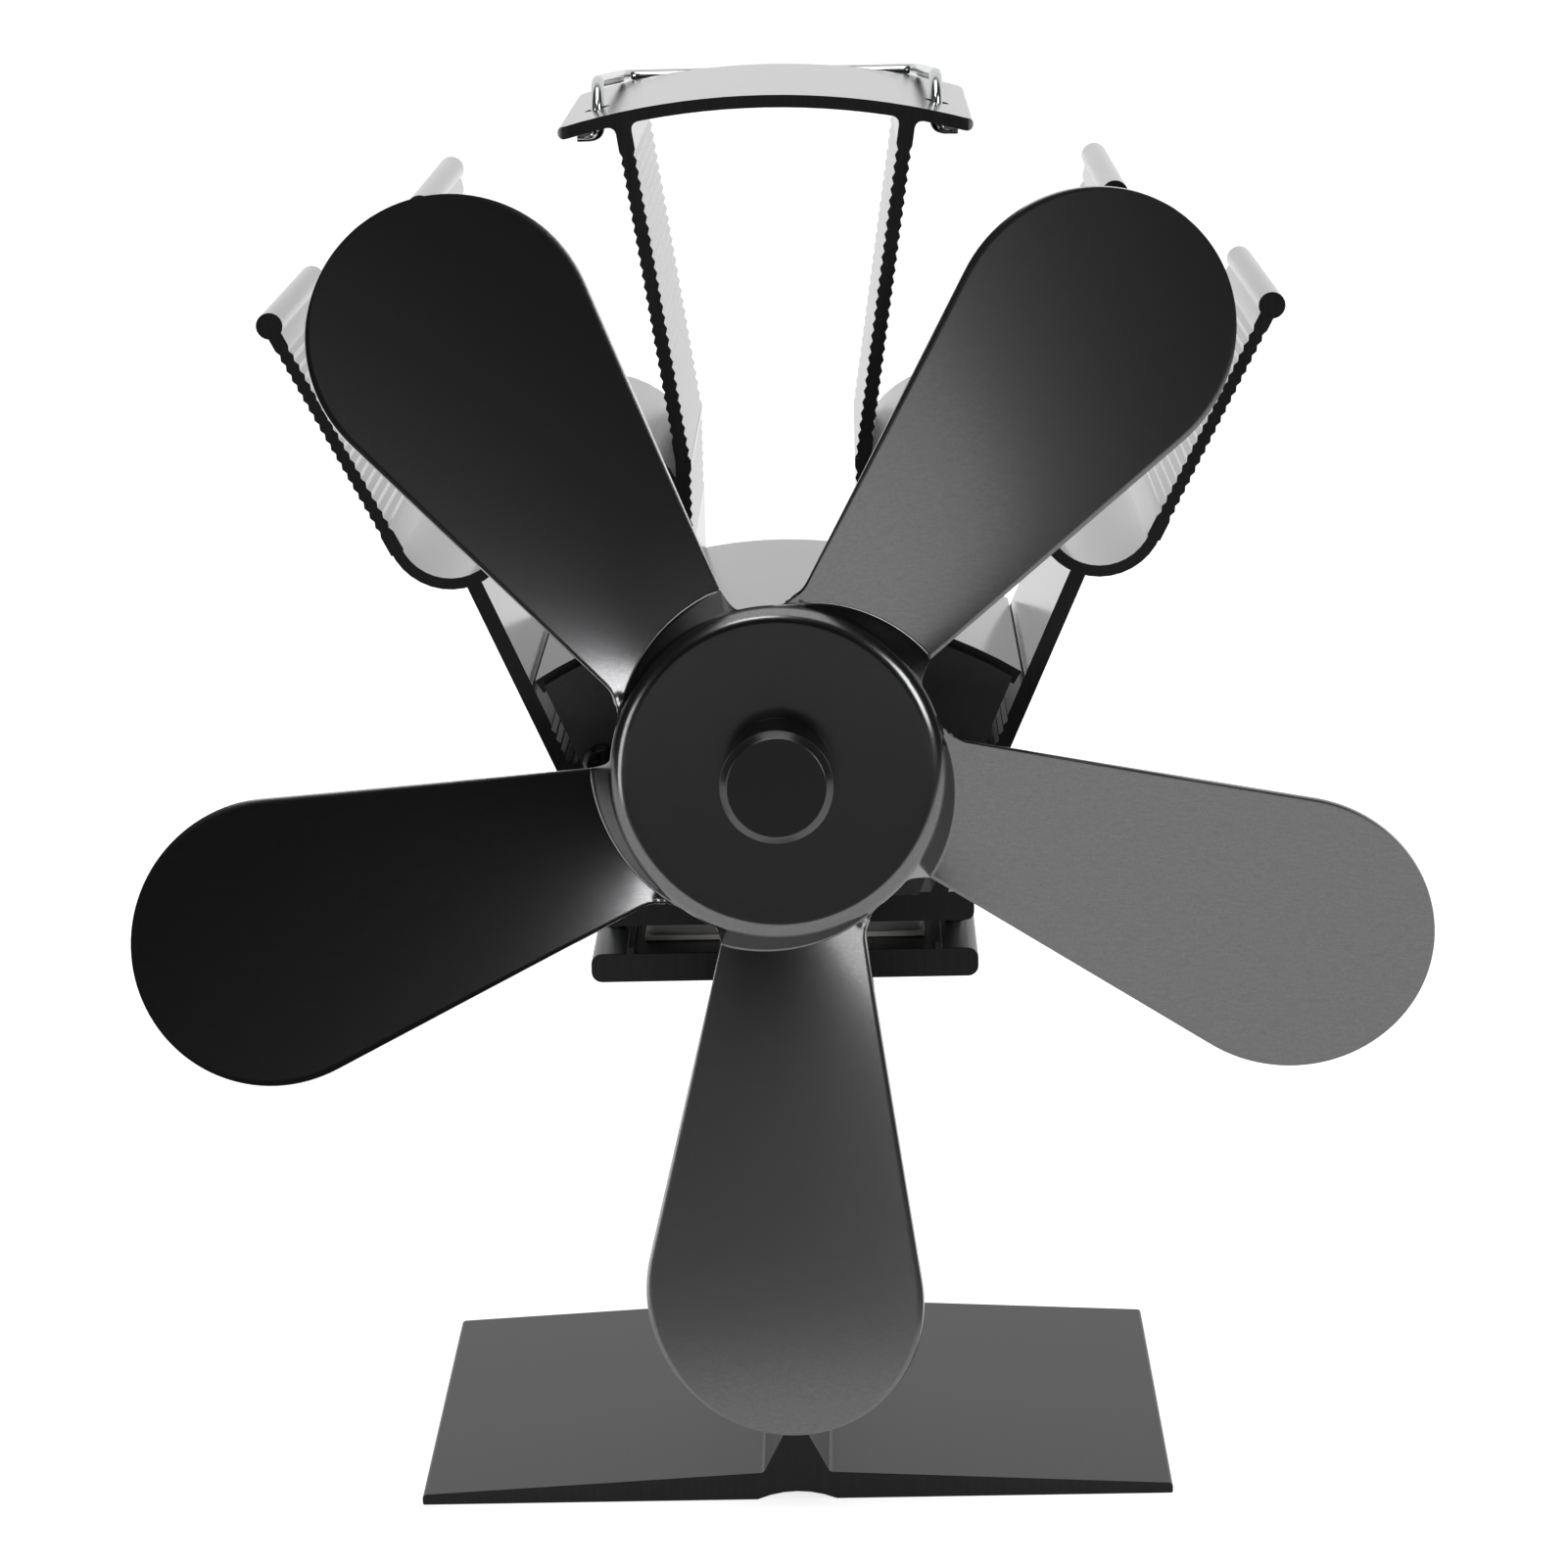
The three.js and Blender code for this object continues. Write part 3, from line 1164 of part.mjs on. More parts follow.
add(axis, 'motor_can', motorCan(), zinc);
add(axis, 'front_bearing', bearing(motorFront - neckLength), bronze);
add(axis, 'rear_bearing', bearing(motorFront + canLength + seatGap + capThickness / 4 + seatGap), bronze);
add(axis, 'motor_magnet_right', magnet(0), ferrite);
add(axis, 'motor_magnet_left', magnet(180), ferrite);
add(axis, 'motor_end_cap', endCap(), nylon);
add(axis, 'motor_terminal_right', terminal(1), copper);
add(axis, 'motor_terminal_left', terminal(-1), copper);
motorScrewPlaces().forEach((z) => {
  const seat = motorFront - 2 * seatGap - bracketThickness;
  const screw = screwY(motorScrewShank, motorScrewHead, motorScrewHeadHeight, seat,
    motorFront + canWall + motorScrewReach);
  screw.translate(0, 0, z);
  add(axis, `motor_screw_${z > 0 ? 'upper' : 'lower'}`, screw, zinc);
});
add(axis, 'armature_core', armatureCore(), laminations);
for (let i = 0; i < poleCount; i += 1) {
  add(axis, `armature_coil_${i + 1}`, armatureCoil(i), copper);
}
add(axis, 'commutator', commutator(), copper);
const shaftFront = -bladeDrop - bossLength + shaftEnd;
const shaftBack = motorFront + canLength + capThickness + capBossLength;
add(axis, 'motor_shaft', rodY(shaftDiameter / 2, shaftFront, shaftBack, smallSides), steel);
add(axis, 'hub_boss', hubBoss(), blackSheet);
add(axis, 'hub_ring', hubRing(), steel);
add(axis, 'fan_wheel', thicken(wheelFront(), sheetThickness), blackSheet);
add(model, 'carry_handle', wire(handlePoints(), wireDiameter / 2, wireSides), steel);

model.updateMatrixWorld(true);
export default model;
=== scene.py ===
"""Looks of the stove fan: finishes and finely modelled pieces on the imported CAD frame, in metres."""

import json
import math

import bpy
from mathutils import Matrix, Vector

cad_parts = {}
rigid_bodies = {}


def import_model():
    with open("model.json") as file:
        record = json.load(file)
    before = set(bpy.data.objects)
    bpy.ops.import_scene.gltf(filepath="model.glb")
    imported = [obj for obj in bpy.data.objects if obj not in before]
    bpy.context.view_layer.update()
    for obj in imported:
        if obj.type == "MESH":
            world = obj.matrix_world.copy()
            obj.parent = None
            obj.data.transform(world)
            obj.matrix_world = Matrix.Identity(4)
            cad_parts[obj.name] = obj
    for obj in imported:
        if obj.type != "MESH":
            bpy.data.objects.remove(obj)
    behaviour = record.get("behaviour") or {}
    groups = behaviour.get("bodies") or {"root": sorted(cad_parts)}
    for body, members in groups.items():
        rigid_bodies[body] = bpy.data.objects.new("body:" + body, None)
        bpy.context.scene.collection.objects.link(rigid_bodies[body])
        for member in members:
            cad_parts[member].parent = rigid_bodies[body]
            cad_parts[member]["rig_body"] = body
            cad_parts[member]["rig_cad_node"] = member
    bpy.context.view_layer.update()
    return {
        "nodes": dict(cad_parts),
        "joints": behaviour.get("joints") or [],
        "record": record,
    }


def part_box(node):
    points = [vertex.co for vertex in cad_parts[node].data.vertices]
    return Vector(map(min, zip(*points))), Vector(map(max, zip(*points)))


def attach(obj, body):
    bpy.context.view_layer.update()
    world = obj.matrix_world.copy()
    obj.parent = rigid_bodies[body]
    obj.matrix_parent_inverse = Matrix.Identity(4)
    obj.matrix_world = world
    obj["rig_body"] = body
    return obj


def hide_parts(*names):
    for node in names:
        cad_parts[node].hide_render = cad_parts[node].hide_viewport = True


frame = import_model()
MM = 0.001

# Sizes in millimetres and degrees, as in the CAD source, apart from the wheel's leading edge and notch,
# which were fitted closer to the photograph here
AXIS_LEAN = 5.9
SHEET_THICKNESS = 0.8
HUB_RIDGE = 24.4
HUB_HOLE = 4.3
BLADES = 5
BLADE_FIRST = -90.6
BLADE_PITCH = 13.0
BLADE_SWEEP = 4.0
BLADE_DROP = 3.8
BLADE_REACH = 73.3
BLADE_TIP = 19.75
BLADE_LEADING = -18.6
BLADE_TRAILING = 27.8
NOTCH_RADIUS = 23.0
NOTCH_FILLET = 5.5
ROOT_SHARE = 0.08
WIRE = 0.9
HANDLE_RING = 4.2
HANDLE_HOOK = 45
HOOK_BEND = 22
HOOK_LENGTH = 3.0
HANDLE_BEND = 2.6
HANDLE_NARROW = 1.8
HANDLE_BEHIND = 3.0
HANDLE_REST = 0.05
ARCH_RADIUS = 103.0
HANDLE_SPAN = 47.0  # between the two holes

# The form of the wheel's sheet, which the CAD source has more simply
HOLLOW_ALONG = 0.0016  # per mm, times the square of the distance from the blade's axis
HOLLOW_ROOT = 0.007  # what is added to it at the root
HOLLOW_FADE = 9.0  # how far along the blade that fades
HOLLOW_HALF = 11.0  # half of the root's width, where the hollow ends
HOLLOW_WIDEN = 0.16  # and how it widens along the blade
HOLLOW_ASIDE = 1.5  # of its middle from the blade's axis
ROUND_START = 20.6  # the round between the hub's flat face and its conical wall
ROUND_RADIUS = 2.9  # of that round
WALL_SLOPE = 59.0  # degrees from the face
ROUND_END = ROUND_START + ROUND_RADIUS * math.sin(math.radians(WALL_SLOPE))
RIDGE_ROUND = 0.45  # the concave round between wall and blade
RIDGE_FADE = 3.0  # degrees over which it fades at both ends
SEAM_EASE = 14.0  # degrees over which the mesh line leaves the ridge for the fillet
FOLD_FROM = 30.2  # degrees where the blade's plane starts to fold back into the notch
FOLD = 0.06  # in mm per degree
NOTCH_RISE = 4.8  # degrees over which the notch runs out to the next leading edge
DIMPLE = 0.15  # a small dimple at the trailing end of each ridge
DIMPLE_RADIUS = 24.1
DIMPLE_ANGLE = 28.5
DIMPLE_SIZE = 0.6
HUB_FACE_SHARE = 0.25  # share of the hub's rings that lie on its flat face
SEAM_RISE = 0.3  # the mesh line's end outside the ridge
SEAM_STEP = 0.01  # degrees between the places that are tried for it
SMALLEST_ROUND = 0.001
BLADE_COLUMNS, BLADE_ROWS = 44, 96
NOTCH_COLUMNS, HUB_ROWS = 24, 32

# The motor's bay in the radiator, whose inner faces get painted shade
BAY_ABOVE = 12.0  # from the wheel's axis to the middle of the bay
BAY_SIDE = 15.0  # the bay's side walls stand further out than this
BAY_LOW, BAY_HIGH = 100.0, 122.8  # above the floor, and the roof meets the side walls at the higher one
END_FACE = 0.9  # least share of a face's normal along the extrusion where the face is a sawn end

# Fineness of the finished meshes, in millimetres
COPY_BEVEL = 0.12
SHEET_BEVEL = 0.1
WIRE_BEVEL = 0.2
WELD = 0.002
HANDLE_STEPS = 12

AXIS_POINT = Vector(frame["joints"][0]["pos_m"]) / MM
HANDLE_POINT = Vector(frame["joints"][1]["pos_m"]) / MM


# Helpers


def deselect():
    if bpy.context.object and bpy.context.object.mode != "OBJECT":
        bpy.ops.object.mode_set(mode="OBJECT")
    bpy.ops.object.select_all(action="DESELECT")


def activate(piece):
    deselect()
    piece.select_set(True)
    bpy.context.view_layer.objects.active = piece


def merge(piece, distance=0.01):
    """Merges vertices that lie within a distance in millimetres."""
    activate(piece)
    bpy.ops.object.mode_set(mode="EDIT")
    bpy.ops.mesh.select_all(action="SELECT")
    bpy.ops.mesh.remove_doubles(threshold=distance * MM)
    bpy.ops.object.mode_set(mode="OBJECT")


def modify(piece, kind, **settings):
    """Adds one modifier with its settings and applies it."""
    activate(piece)
    modifier = piece.modifiers.new(kind.lower(), kind)
    for key, value in settings.items():
        setattr(modifier, key, value)
    bpy.ops.object.modifier_apply(modifier=modifier.name)


def smooth(piece, angle=30):
    activate(piece)
    bpy.ops.object.shade_smooth_by_angle(angle=math.radians(angle))


def broken_edges(piece, width, segments=2, angle=40):
    """Rounds the sharp edges by a width in millimetres."""
    modify(piece, "BEVEL", width=width * MM, segments=segments, limit_method="ANGLE",
           angle_limit=math.radians(angle))


def stand_in(piece, node):
    """The piece rides with the node's body and is seen instead of it."""
    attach(piece, BODY_OF[node])
    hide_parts(node)


def dressed_copy(node, bevel):
    """A copy of a CAD node with merged vertices and broken edges."""
    piece = frame["nodes"][node].copy()
    piece.data = piece.data.copy()
    piece.name = node + "_finish"
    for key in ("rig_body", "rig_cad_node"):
        if key in piece:
            del piece[key]
    piece.parent = None
    bpy.context.scene.collection.objects.link(piece)
    merge(piece)
    bpy.ops.object.mode_set(mode="EDIT")
    bpy.ops.mesh.select_all(action="SELECT")
    bpy.ops.mesh.dissolve_limited(angle_limit=math.radians(1))
    bpy.ops.object.mode_set(mode="OBJECT")
    if piece.data.has_custom_normals:
        bpy.ops.mesh.customdata_custom_splitnormals_clear()
    broken_edges(piece, bevel)
    smooth(piece)
    modify(piece, "WEIGHTED_NORMAL", keep_sharp=True)  # flat faces stay flat beside their rounded edges
    stand_in(piece, node)
    return piece


BODY_OF = {node: body for body, nodes in frame["record"]["behaviour"]["bodies"].items() for node in nodes}


# Finishes


def linear(colour):
    """An sRGB hex colour as linear red, green and blue, with an alpha of 1."""
    parts = [int(colour[i : i + 2], 16) / 255 for i in (1, 3, 5)]
    return [c / 12.92 if c <= 0.04045 else ((c + 0.055) / 1.055) ** 2.4 for c in parts] + [1.0]


def material(name):
    made = bpy.data.materials.new(name)
    made.use_nodes = True
    return made


def add(made, kind, settings=None, links=None):
    """Adds one node. settings go to its properties or sockets, links to its sockets."""
    node = made.node_tree.nodes.new(kind)
    for key, value in (settings or {}).items():
        if isinstance(key, int) or key in node.inputs:
            node.inputs[key].default_value = value
        else:
            setattr(node, key, value)
    for key, source in (links or {}).items():
        made.node_tree.links.new(source, node.inputs[key])
    return node


def shader(made, **settings):
    """The material's own Principled shader, with its sockets set by name."""
    node = made.node_tree.nodes["Principled BSDF"]
    for key, value in settings.items():
        node.inputs[key.replace("_", " ")].default_value = value
    return node


def ramp(made, low, high, source):
    """A colour ramp between two stops of [position, sRGB colour]."""
    node = add(made, "ShaderNodeValToRGB", links={"Fac": source})
    for stop, (position, colour) in zip(node.color_ramp.elements, (low, high)):
        stop.position = position
        stop.color = linear(colour)
    return node


def streaks(made, coordinates, across_per_mm, stretch, detail=6.0):
    """Noise drawn out along one axis. stretch holds the three axes' scales, 1 across the streaks."""
    mapping = add(made, "ShaderNodeMapping", {"Scale": [s * across_per_mm / MM for s in stretch]},
                  {"Vector": coordinates})
    return add(made, "ShaderNodeTexNoise", {"Scale": 1.0, "Detail": detail, "Roughness": 0.6},
               {"Vector": mapping.outputs["Vector"]}).outputs["Fac"]


def anodised_extrusion(name, dark, light, rough, spread, coat, relief):
    """Black anodised extruded aluminium: die lines run along its length, under a thin clear oxide film."""
    made = material(name)
    place = add(made, "ShaderNodeTexCoord").outputs["Object"]
    lines = streaks(made, place, 2.2, (1.0, 0.02, 1.0))
    grain = add(made, "ShaderNodeTexNoise", {"Scale": 3.0 / MM, "Detail": 3.0},
                {"Vector": place}).outputs["Fac"]
    body = shader(made, Metallic=1.0, Coat_Weight=coat, Coat_Roughness=0.16, Coat_IOR=1.5)
    tone = ramp(made, (0.3, dark), (0.75, light), lines)
    made.node_tree.links.new(tone.outputs["Color"], body.inputs["Base Color"])
    roughness = add(made, "ShaderNodeMapRange",
                    {"From Min": 0.3, "From Max": 0.7, "To Min": rough - spread, "To Max": rough + spread},
                    {"Value": lines})
    made.node_tree.links.new(roughness.outputs["Result"], body.inputs["Roughness"])
    height = add(made, "ShaderNodeMath", {"operation": "ADD"}, {0: lines, 1: grain})
    bump = add(made, "ShaderNodeBump", {"Strength": relief, "Distance": 0.02 * MM},
               {"Height": height.outputs[0]})
    made.node_tree.links.new(bump.outputs["Normal"], body.inputs["Normal"])
    return made


def cut_end():
    """The sawn and anodised ends of the extrusions: deep black, with fine marks of the blade. The same black
    is also painted on the radiator's faces inside the motor's bay, as painted shade.
    """
    made = material("sawn anodised aluminium and painted bay shade")
    place = add(made, "ShaderNodeTexCoord").outputs["Object"]
    marks = streaks(made, place, 1.6, (1.0, 1.0, 0.08))
    body = shader(made, Metallic=0.0, IOR=1.45, Specular_IOR_Level=0.25)
    tone = ramp(made, (0.35, "#060606"), (0.8, "#141415"), marks)
    made.node_tree.links.new(tone.outputs["Color"], body.inputs["Base Color"])
    body.inputs["Roughness"].default_value = 0.5
    bump = add(made, "ShaderNodeBump", {"Strength": 0.2, "Distance": 0.03 * MM}, {"Height": marks})
    made.node_tree.links.new(bump.outputs["Normal"], body.inputs["Normal"])
    return made


def brushed_sheet():
    """Black anodised brushed sheet: a satin sheen with very fine parallel brush lines, hardly darker or
    lighter than the sheet, and a soft unevenness of the dye."""
    made = material("black brushed aluminium sheet")
    place = add(made, "ShaderNodeTexCoord").outputs["Object"]
    lines = streaks(made, place, 4.5, (0.05, 1.0, 1.0), 3.0)
    grain = add(made, "ShaderNodeTexNoise", {"Scale": 3.2 / MM, "Detail": 2.0},
                {"Vector": place}).outputs["Fac"]
    both = add(made, "ShaderNodeMath", {"operation": "ADD"}, {0: lines, 1: grain})
    height = add(made, "ShaderNodeMath", {"operation": "MULTIPLY", 1: 0.5}, {0: both.outputs[0]})
    body = shader(made, Metallic=1.0, Coat_Weight=0.7, Coat_Roughness=0.11, Coat_IOR=1.5)
    tone = ramp(made, (0.35, "#505051"), (0.65, "#5b5b5c"), height.outputs[0])
    made.node_tree.links.new(tone.outputs["Color"], body.inputs["Base Color"])
    body.inputs["Roughness"].default_value = 0.2
    bump = add(made, "ShaderNodeBump", {"Strength": 0.1, "Distance": 0.006 * MM},
               {"Height": height.outputs[0]})
    made.node_tree.links.new(bump.outputs["Normal"], body.inputs["Normal"])
    return made


def plain(name, colour, metal, rough, mottle=0.06, grain_mm=0.8):
    """A small part's finish, with a slight mottle of its roughness."""
    made = material(name)
    place = add(made, "ShaderNodeTexCoord").outputs["Object"]
    noise = add(made, "ShaderNodeTexNoise", {"Scale": 1.0 / (grain_mm * MM), "Detail": 4.0},
                {"Vector": place}).outputs["Fac"]
    body = shader(made, Base_Color=linear(colour), Metallic=metal)
    roughness = add(made, "ShaderNodeMapRange",
                    {"From Min": 0.3, "From Max": 0.7, "To Min": rough - mottle, "To Max": rough + mottle},
                    {"Value": noise})
    made.node_tree.links.new(roughness.outputs["Result"], body.inputs["Roughness"])
    bump = add(made, "ShaderNodeBump", {"Strength": 0.08, "Distance": 0.02 * MM}, {"Height": noise})
    made.node_tree.links.new(bump.outputs["Normal"], body.inputs["Normal"])
    return made


# An even satin black that turns light grey where it is seen at a flat angle, with hardly any lines
RADIATOR = anodised_extrusion("anodised radiator extrusion", "#4c4c4d", "#4d4d4e", 0.24, 0.004, 0.6, 0.004)
# Duller and darker than the radiator, with die lines that show
BASE = anodised_extrusion("anodised base extrusion", "#1f1f20", "#3a3a3b", 0.42, 0.05, 0.25, 0.16)
# The deep black of the sawn ends, also used as painted shade on the radiator's faces inside the motor's bay
CUT_END_AND_BAY_SHADE = cut_end()
SHEET = brushed_sheet()
# A smooth dark lustre with a clear highlight on its chamfer
TURNED = plain("black turned aluminium", "#4a4a4b", 1.0, 0.26, 0.01, 0.2)
# Flat black paint on the bracket; its near-black plate also stands in for the shade deep in the bay, as
# painted shade, and closes the view into it
BRACKET_AND_BAY_SHADE = plain("matt black steel with painted bay shade", "#0b0b0b", 0.0, 0.6)
# Nearly black, with small soft glints
SCREW = plain("blackened steel", "#2c2c2c", 1.0, 0.3)
# Bright drawn wire and ground shafts: sharp light and dark stripes along them
STEEL = plain("bright steel wire", "#c8c9ca", 1.0, 0.16)
# Cool grey plating with broad soft highlights
ZINC = plain("zinc plated steel", "#b4b8b8", 1.0, 0.32)
# Chalky off-white
CERAMIC = plain("alumina ceramic", "#ece9e2", 0.0, 0.55)
# A soft dull grey bead
SILICONE = plain("grey silicone", "#9a9a99", 0.0, 0.5)
# Dull dark grey semi-metal
ELEMENTS = plain("bismuth telluride", "#5f5c58", 0.6, 0.6)
# Milky and slightly yellow, with a dull sheen
NYLON = plain("natural nylon", "#dedbd0", 0.0, 0.5)
# Warm brown metal without a clear highlight
BRONZE = plain("sintered bronze", "#9c7546", 1.0, 0.5)
# Warm reddish metal
COPPER = plain("copper", "#c0764a", 1.0, 0.3)
# Dull charcoal ceramic
FERRITE = plain("ferrite", "#3a3a3b", 0.1, 0.75)
# Plain mid-grey steel
LAMINATIONS = plain("steel laminations", "#76787a", 1.0, 0.4)
# Insulation with a soft rubbery sheen
RED_LEAD = plain("red silicone sleeve", "#a5231a", 0.0, 0.45)
BLACK_LEAD = plain("black silicone sleeve", "#161617", 0.0, 0.45)

FINISHES = {
    "base_extrusion": BASE, "radiator": RADIATOR, "fan_wheel": SHEET, "hub_boss": TURNED,
    "motor_bracket": BRACKET_AND_BAY_SHADE, "carry_handle": STEEL, "motor_shaft": STEEL, "hub_ring": STEEL,
    "module_hot_ceramic": CERAMIC, "module_cold_ceramic": CERAMIC, "module_seal": SILICONE,
    "module_elements": ELEMENTS, "module_lead_red": RED_LEAD, "module_lead_black": BLACK_LEAD,
    "clamp_screw": ZINC, "clamp_washer": NYLON, "bracket_screw": SCREW, "motor_screw": ZINC,
    "motor_can": ZINC, "motor_end_cap": NYLON, "front_bearing": BRONZE, "rear_bearing": BRONZE,
    "motor_magnet": FERRITE, "motor_terminal": COPPER, "armature_core": LAMINATIONS,
    "armature_coil": COPPER, "commutator": COPPER,
}


def finish_of(node):
    return next(finish for start, finish in FINISHES.items() if node.startswith(start))


def paint(piece, *finishes):
    piece.data.materials.clear()
    for finish in finishes:
        piece.data.materials.append(finish)


# Fan wheel: one drawn and stamped sheet, in u along a blade, v across it towards the trailing edge, and
# the depth behind the hub's face


def polar(radius, angle):
    return Vector((radius * math.cos(math.radians(angle)), radius * math.sin(math.radians(angle))))


def ease(x):
    x = min(max(x, 0.0), 1.0)
    return x * x * (3 - 2 * x)


def mix(a, b, x):
    return a + (b - a) * x


def blade_depth(u, v):
    """Depth of a blade's face, which is a little hollow across, and more so near its root."""
    out = max(u - HUB_RIDGE + 2, 0)
    hollow = HOLLOW_ALONG + HOLLOW_ROOT * math.exp(-out / HOLLOW_FADE)
    half = HOLLOW_HALF + HOLLOW_WIDEN * out
    return (BLADE_DROP - (u - HUB_RIDGE) * math.tan(math.radians(BLADE_SWEEP))
            - v * math.tan(math.radians(BLADE_PITCH)) + hollow * (half**2 - (v - HOLLOW_ASIDE) ** 2))


def tip_point(angle):
    """The round tip, seen along the wheel's axis."""
    middle = HUB_RIDGE + (BLADE_REACH - HUB_RIDGE) * math.cos(math.radians(BLADE_SWEEP))
    return Vector((middle + BLADE_TIP * math.cos(math.radians(BLADE_SWEEP)) * math.cos(angle),
                   BLADE_TIP * math.cos(math.radians(BLADE_PITCH)) * math.sin(angle)))


def tip_touch(corner, hand):
    """Where the straight edge from a corner of the root touches the tip."""
    middle = (tip_point(0) + tip_point(math.pi)) / 2
    x = (corner.x - middle.x) / (tip_point(0).x - middle.x)
    y = corner.y / tip_point(math.pi / 2).y
    return math.atan2(y, x) - hand * math.acos(1 / math.hypot(x, y))


def hub_profile(radius):
    """Depth of the hub, which is round: flat face, round and conical wall."""
    if radius <= ROUND_START:
        return 0.0
    if radius < ROUND_END:
        return ROUND_RADIUS - math.sqrt(ROUND_RADIUS**2 - (radius - ROUND_START) ** 2)
    return (ROUND_RADIUS * (1 - math.cos(math.radians(WALL_SLOPE)))
            + (radius - ROUND_END) * math.tan(math.radians(WALL_SLOPE)))


def ridge_radius(angle):
    """Where the hub's wall meets the plane of the blade."""
    low, high = ROUND_START, HUB_RIDGE + 3
    for _ in range(40):
        radius = (low + high) / 2
        if hub_profile(radius) < blade_depth(*polar(radius, angle)):
            low = radius
        else:
            high = radius
    return radius


LEADING_CORNER = polar(ridge_radius(BLADE_LEADING), BLADE_LEADING)
TRAILING_CORNER = polar(HUB_RIDGE, BLADE_TRAILING)
LEADING_TOUCH = tip_touch(LEADING_CORNER, -1)
TRAILING_TOUCH = tip_touch(TRAILING_CORNER, 1)
EDGE_WAY = (tip_point(TRAILING_TOUCH) - TRAILING_CORNER).normalized()
EDGE_ASIDE = Vector((-EDGE_WAY.y, EDGE_WAY.x))
FILLET_START = TRAILING_CORNER + EDGE_ASIDE * NOTCH_FILLET
FILLET_RUN = FILLET_START.dot(EDGE_WAY)
FILLET_CENTRE = FILLET_START + EDGE_WAY * (
    math.sqrt(FILLET_RUN**2 - FILLET_START.length_squared + (NOTCH_RADIUS + NOTCH_FILLET) ** 2) - FILLET_RUN)
FILLET_TO = math.atan2(EDGE_ASIDE.y, EDGE_ASIDE.x) + math.pi
BLADE_LAST = math.degrees(math.atan2(FILLET_CENTRE.y, FILLET_CENTRE.x))
NEXT_LEADING = 360 / BLADES + BLADE_LEADING


def fillet_radius(angle):
    """Radius of the notch's edge where the fillet forms it."""
    way = polar(1, angle)
    along = way.dot(FILLET_CENTRE)
    return along - math.sqrt(max(along**2 - FILLET_CENTRE.length_squared + NOTCH_FILLET**2, 0))


# The mesh line between hub and blade follows the ridge up to the fillet.
SEAM_LAST = BLADE_LAST
while fillet_radius(SEAM_LAST) < ridge_radius(SEAM_LAST) + SEAM_RISE:
    SEAM_LAST -= SEAM_STEP
SEAM_SPOT = polar(fillet_radius(SEAM_LAST), SEAM_LAST) - FILLET_CENTRE
SEAM_TURN = math.atan2(SEAM_SPOT.y, SEAM_SPOT.x) % (2 * math.pi)


def wall_end(angle):
    """Radius of the mesh line between hub and blade, and of the hub's edge in the notch."""
    if angle <= SEAM_LAST:
        return mix(ridge_radius(angle), fillet_radius(SEAM_LAST), ease((angle - SEAM_LAST) / SEAM_EASE + 1))
    if angle <= BLADE_LAST:
        return fillet_radius(angle)
    out = max(angle - NEXT_LEADING + NOTCH_RISE, 0) / NOTCH_RISE
    return mix(NOTCH_RADIUS, LEADING_CORNER.length, out**2)


def sheet_depth(radius, angle):
    """Depth of the sheet's front: the hub's round form and the blade, run into each other softly."""
    wall = hub_profile(radius)
    if angle > BLADE_LAST:
        return wall
    spot = polar(radius, angle)
    blade = blade_depth(*spot) + FOLD * max(angle - FOLD_FROM, 0)
    inside = ease((angle - BLADE_LEADING) / RIDGE_FADE) * ease((BLADE_LAST - angle) / RIDGE_FADE)
    round_mm = max(RIDGE_ROUND * inside, SMALLEST_ROUND)
    blend = max(round_mm - abs(wall - blade), 0) / round_mm
    away = (spot - polar(DIMPLE_RADIUS, DIMPLE_ANGLE)).length / DIMPLE_SIZE
    return min(wall, blade) - blend**2 * round_mm / 4 + DIMPLE * math.exp(-away**2)


def blade_edges(s):
    """Points on the leading and trailing edge: s is 0 to 1 along the fillet, to 2 along the straight, to 3
    round the tip."""
    leading_end = tip_point(LEADING_TOUCH)
    if s <= 1:
        turn = mix(SEAM_TURN, FILLET_TO, s)
        spot = FILLET_CENTRE + NOTCH_FILLET * Vector((math.cos(turn), math.sin(turn)))
        return LEADING_CORNER.lerp(leading_end, s * ROOT_SHARE), spot
    if s <= 2:
        start = FILLET_CENTRE - EDGE_ASIDE * NOTCH_FILLET
        return (LEADING_CORNER.lerp(leading_end, mix(ROOT_SHARE, 1, s - 1)),
                start.lerp(tip_point(TRAILING_TOUCH), s - 1))
    return tip_point(LEADING_TOUCH * (3 - s)), tip_point(TRAILING_TOUCH * (3 - s))


def blade_spot(w, s):
    """A place on the blade, w from the leading to the trailing edge. Rows near the root follow its arc."""
    angle = mix(BLADE_LEADING, SEAM_LAST, w)
    root_leading, root_trailing = blade_edges(0)
    leading, trailing = blade_edges(s)
    bow = polar(wall_end(angle), angle) - root_leading.lerp(root_trailing, w)
    return leading.lerp(trailing, w) + bow * (1 - ease(s / 2))


def shaped_grid(name, columns, rows, place):
    """A primitive grid whose vertices are moved to place(column share, row share)."""
    deselect()
    bpy.ops.mesh.primitive_grid_add(x_subdivisions=columns, y_subdivisions=rows, size=1)
    grid = bpy.context.object
    grid.name = name
    for vertex in grid.data.vertices:
        u, v, depth = place(round((vertex.co.x + 0.5) * columns) / columns,
                            round((vertex.co.y + 0.5) * rows) / rows)
        vertex.co = Vector((u, depth - BLADE_DROP, v)) * MM
    return grid


def blade_vertex(column, row):
    s = 3 * row
    spot = blade_spot(column, s)
    if s == 0:
        # The same place and depth as the last ring of the hub
        angle = mix(BLADE_LEADING, SEAM_LAST, column)
        radius = wall_end(angle)
    else:
        angle = math.degrees(math.atan2(spot.y, spot.x))
        radius = spot.length
    return spot.x, spot.y, sheet_depth(radius, angle)


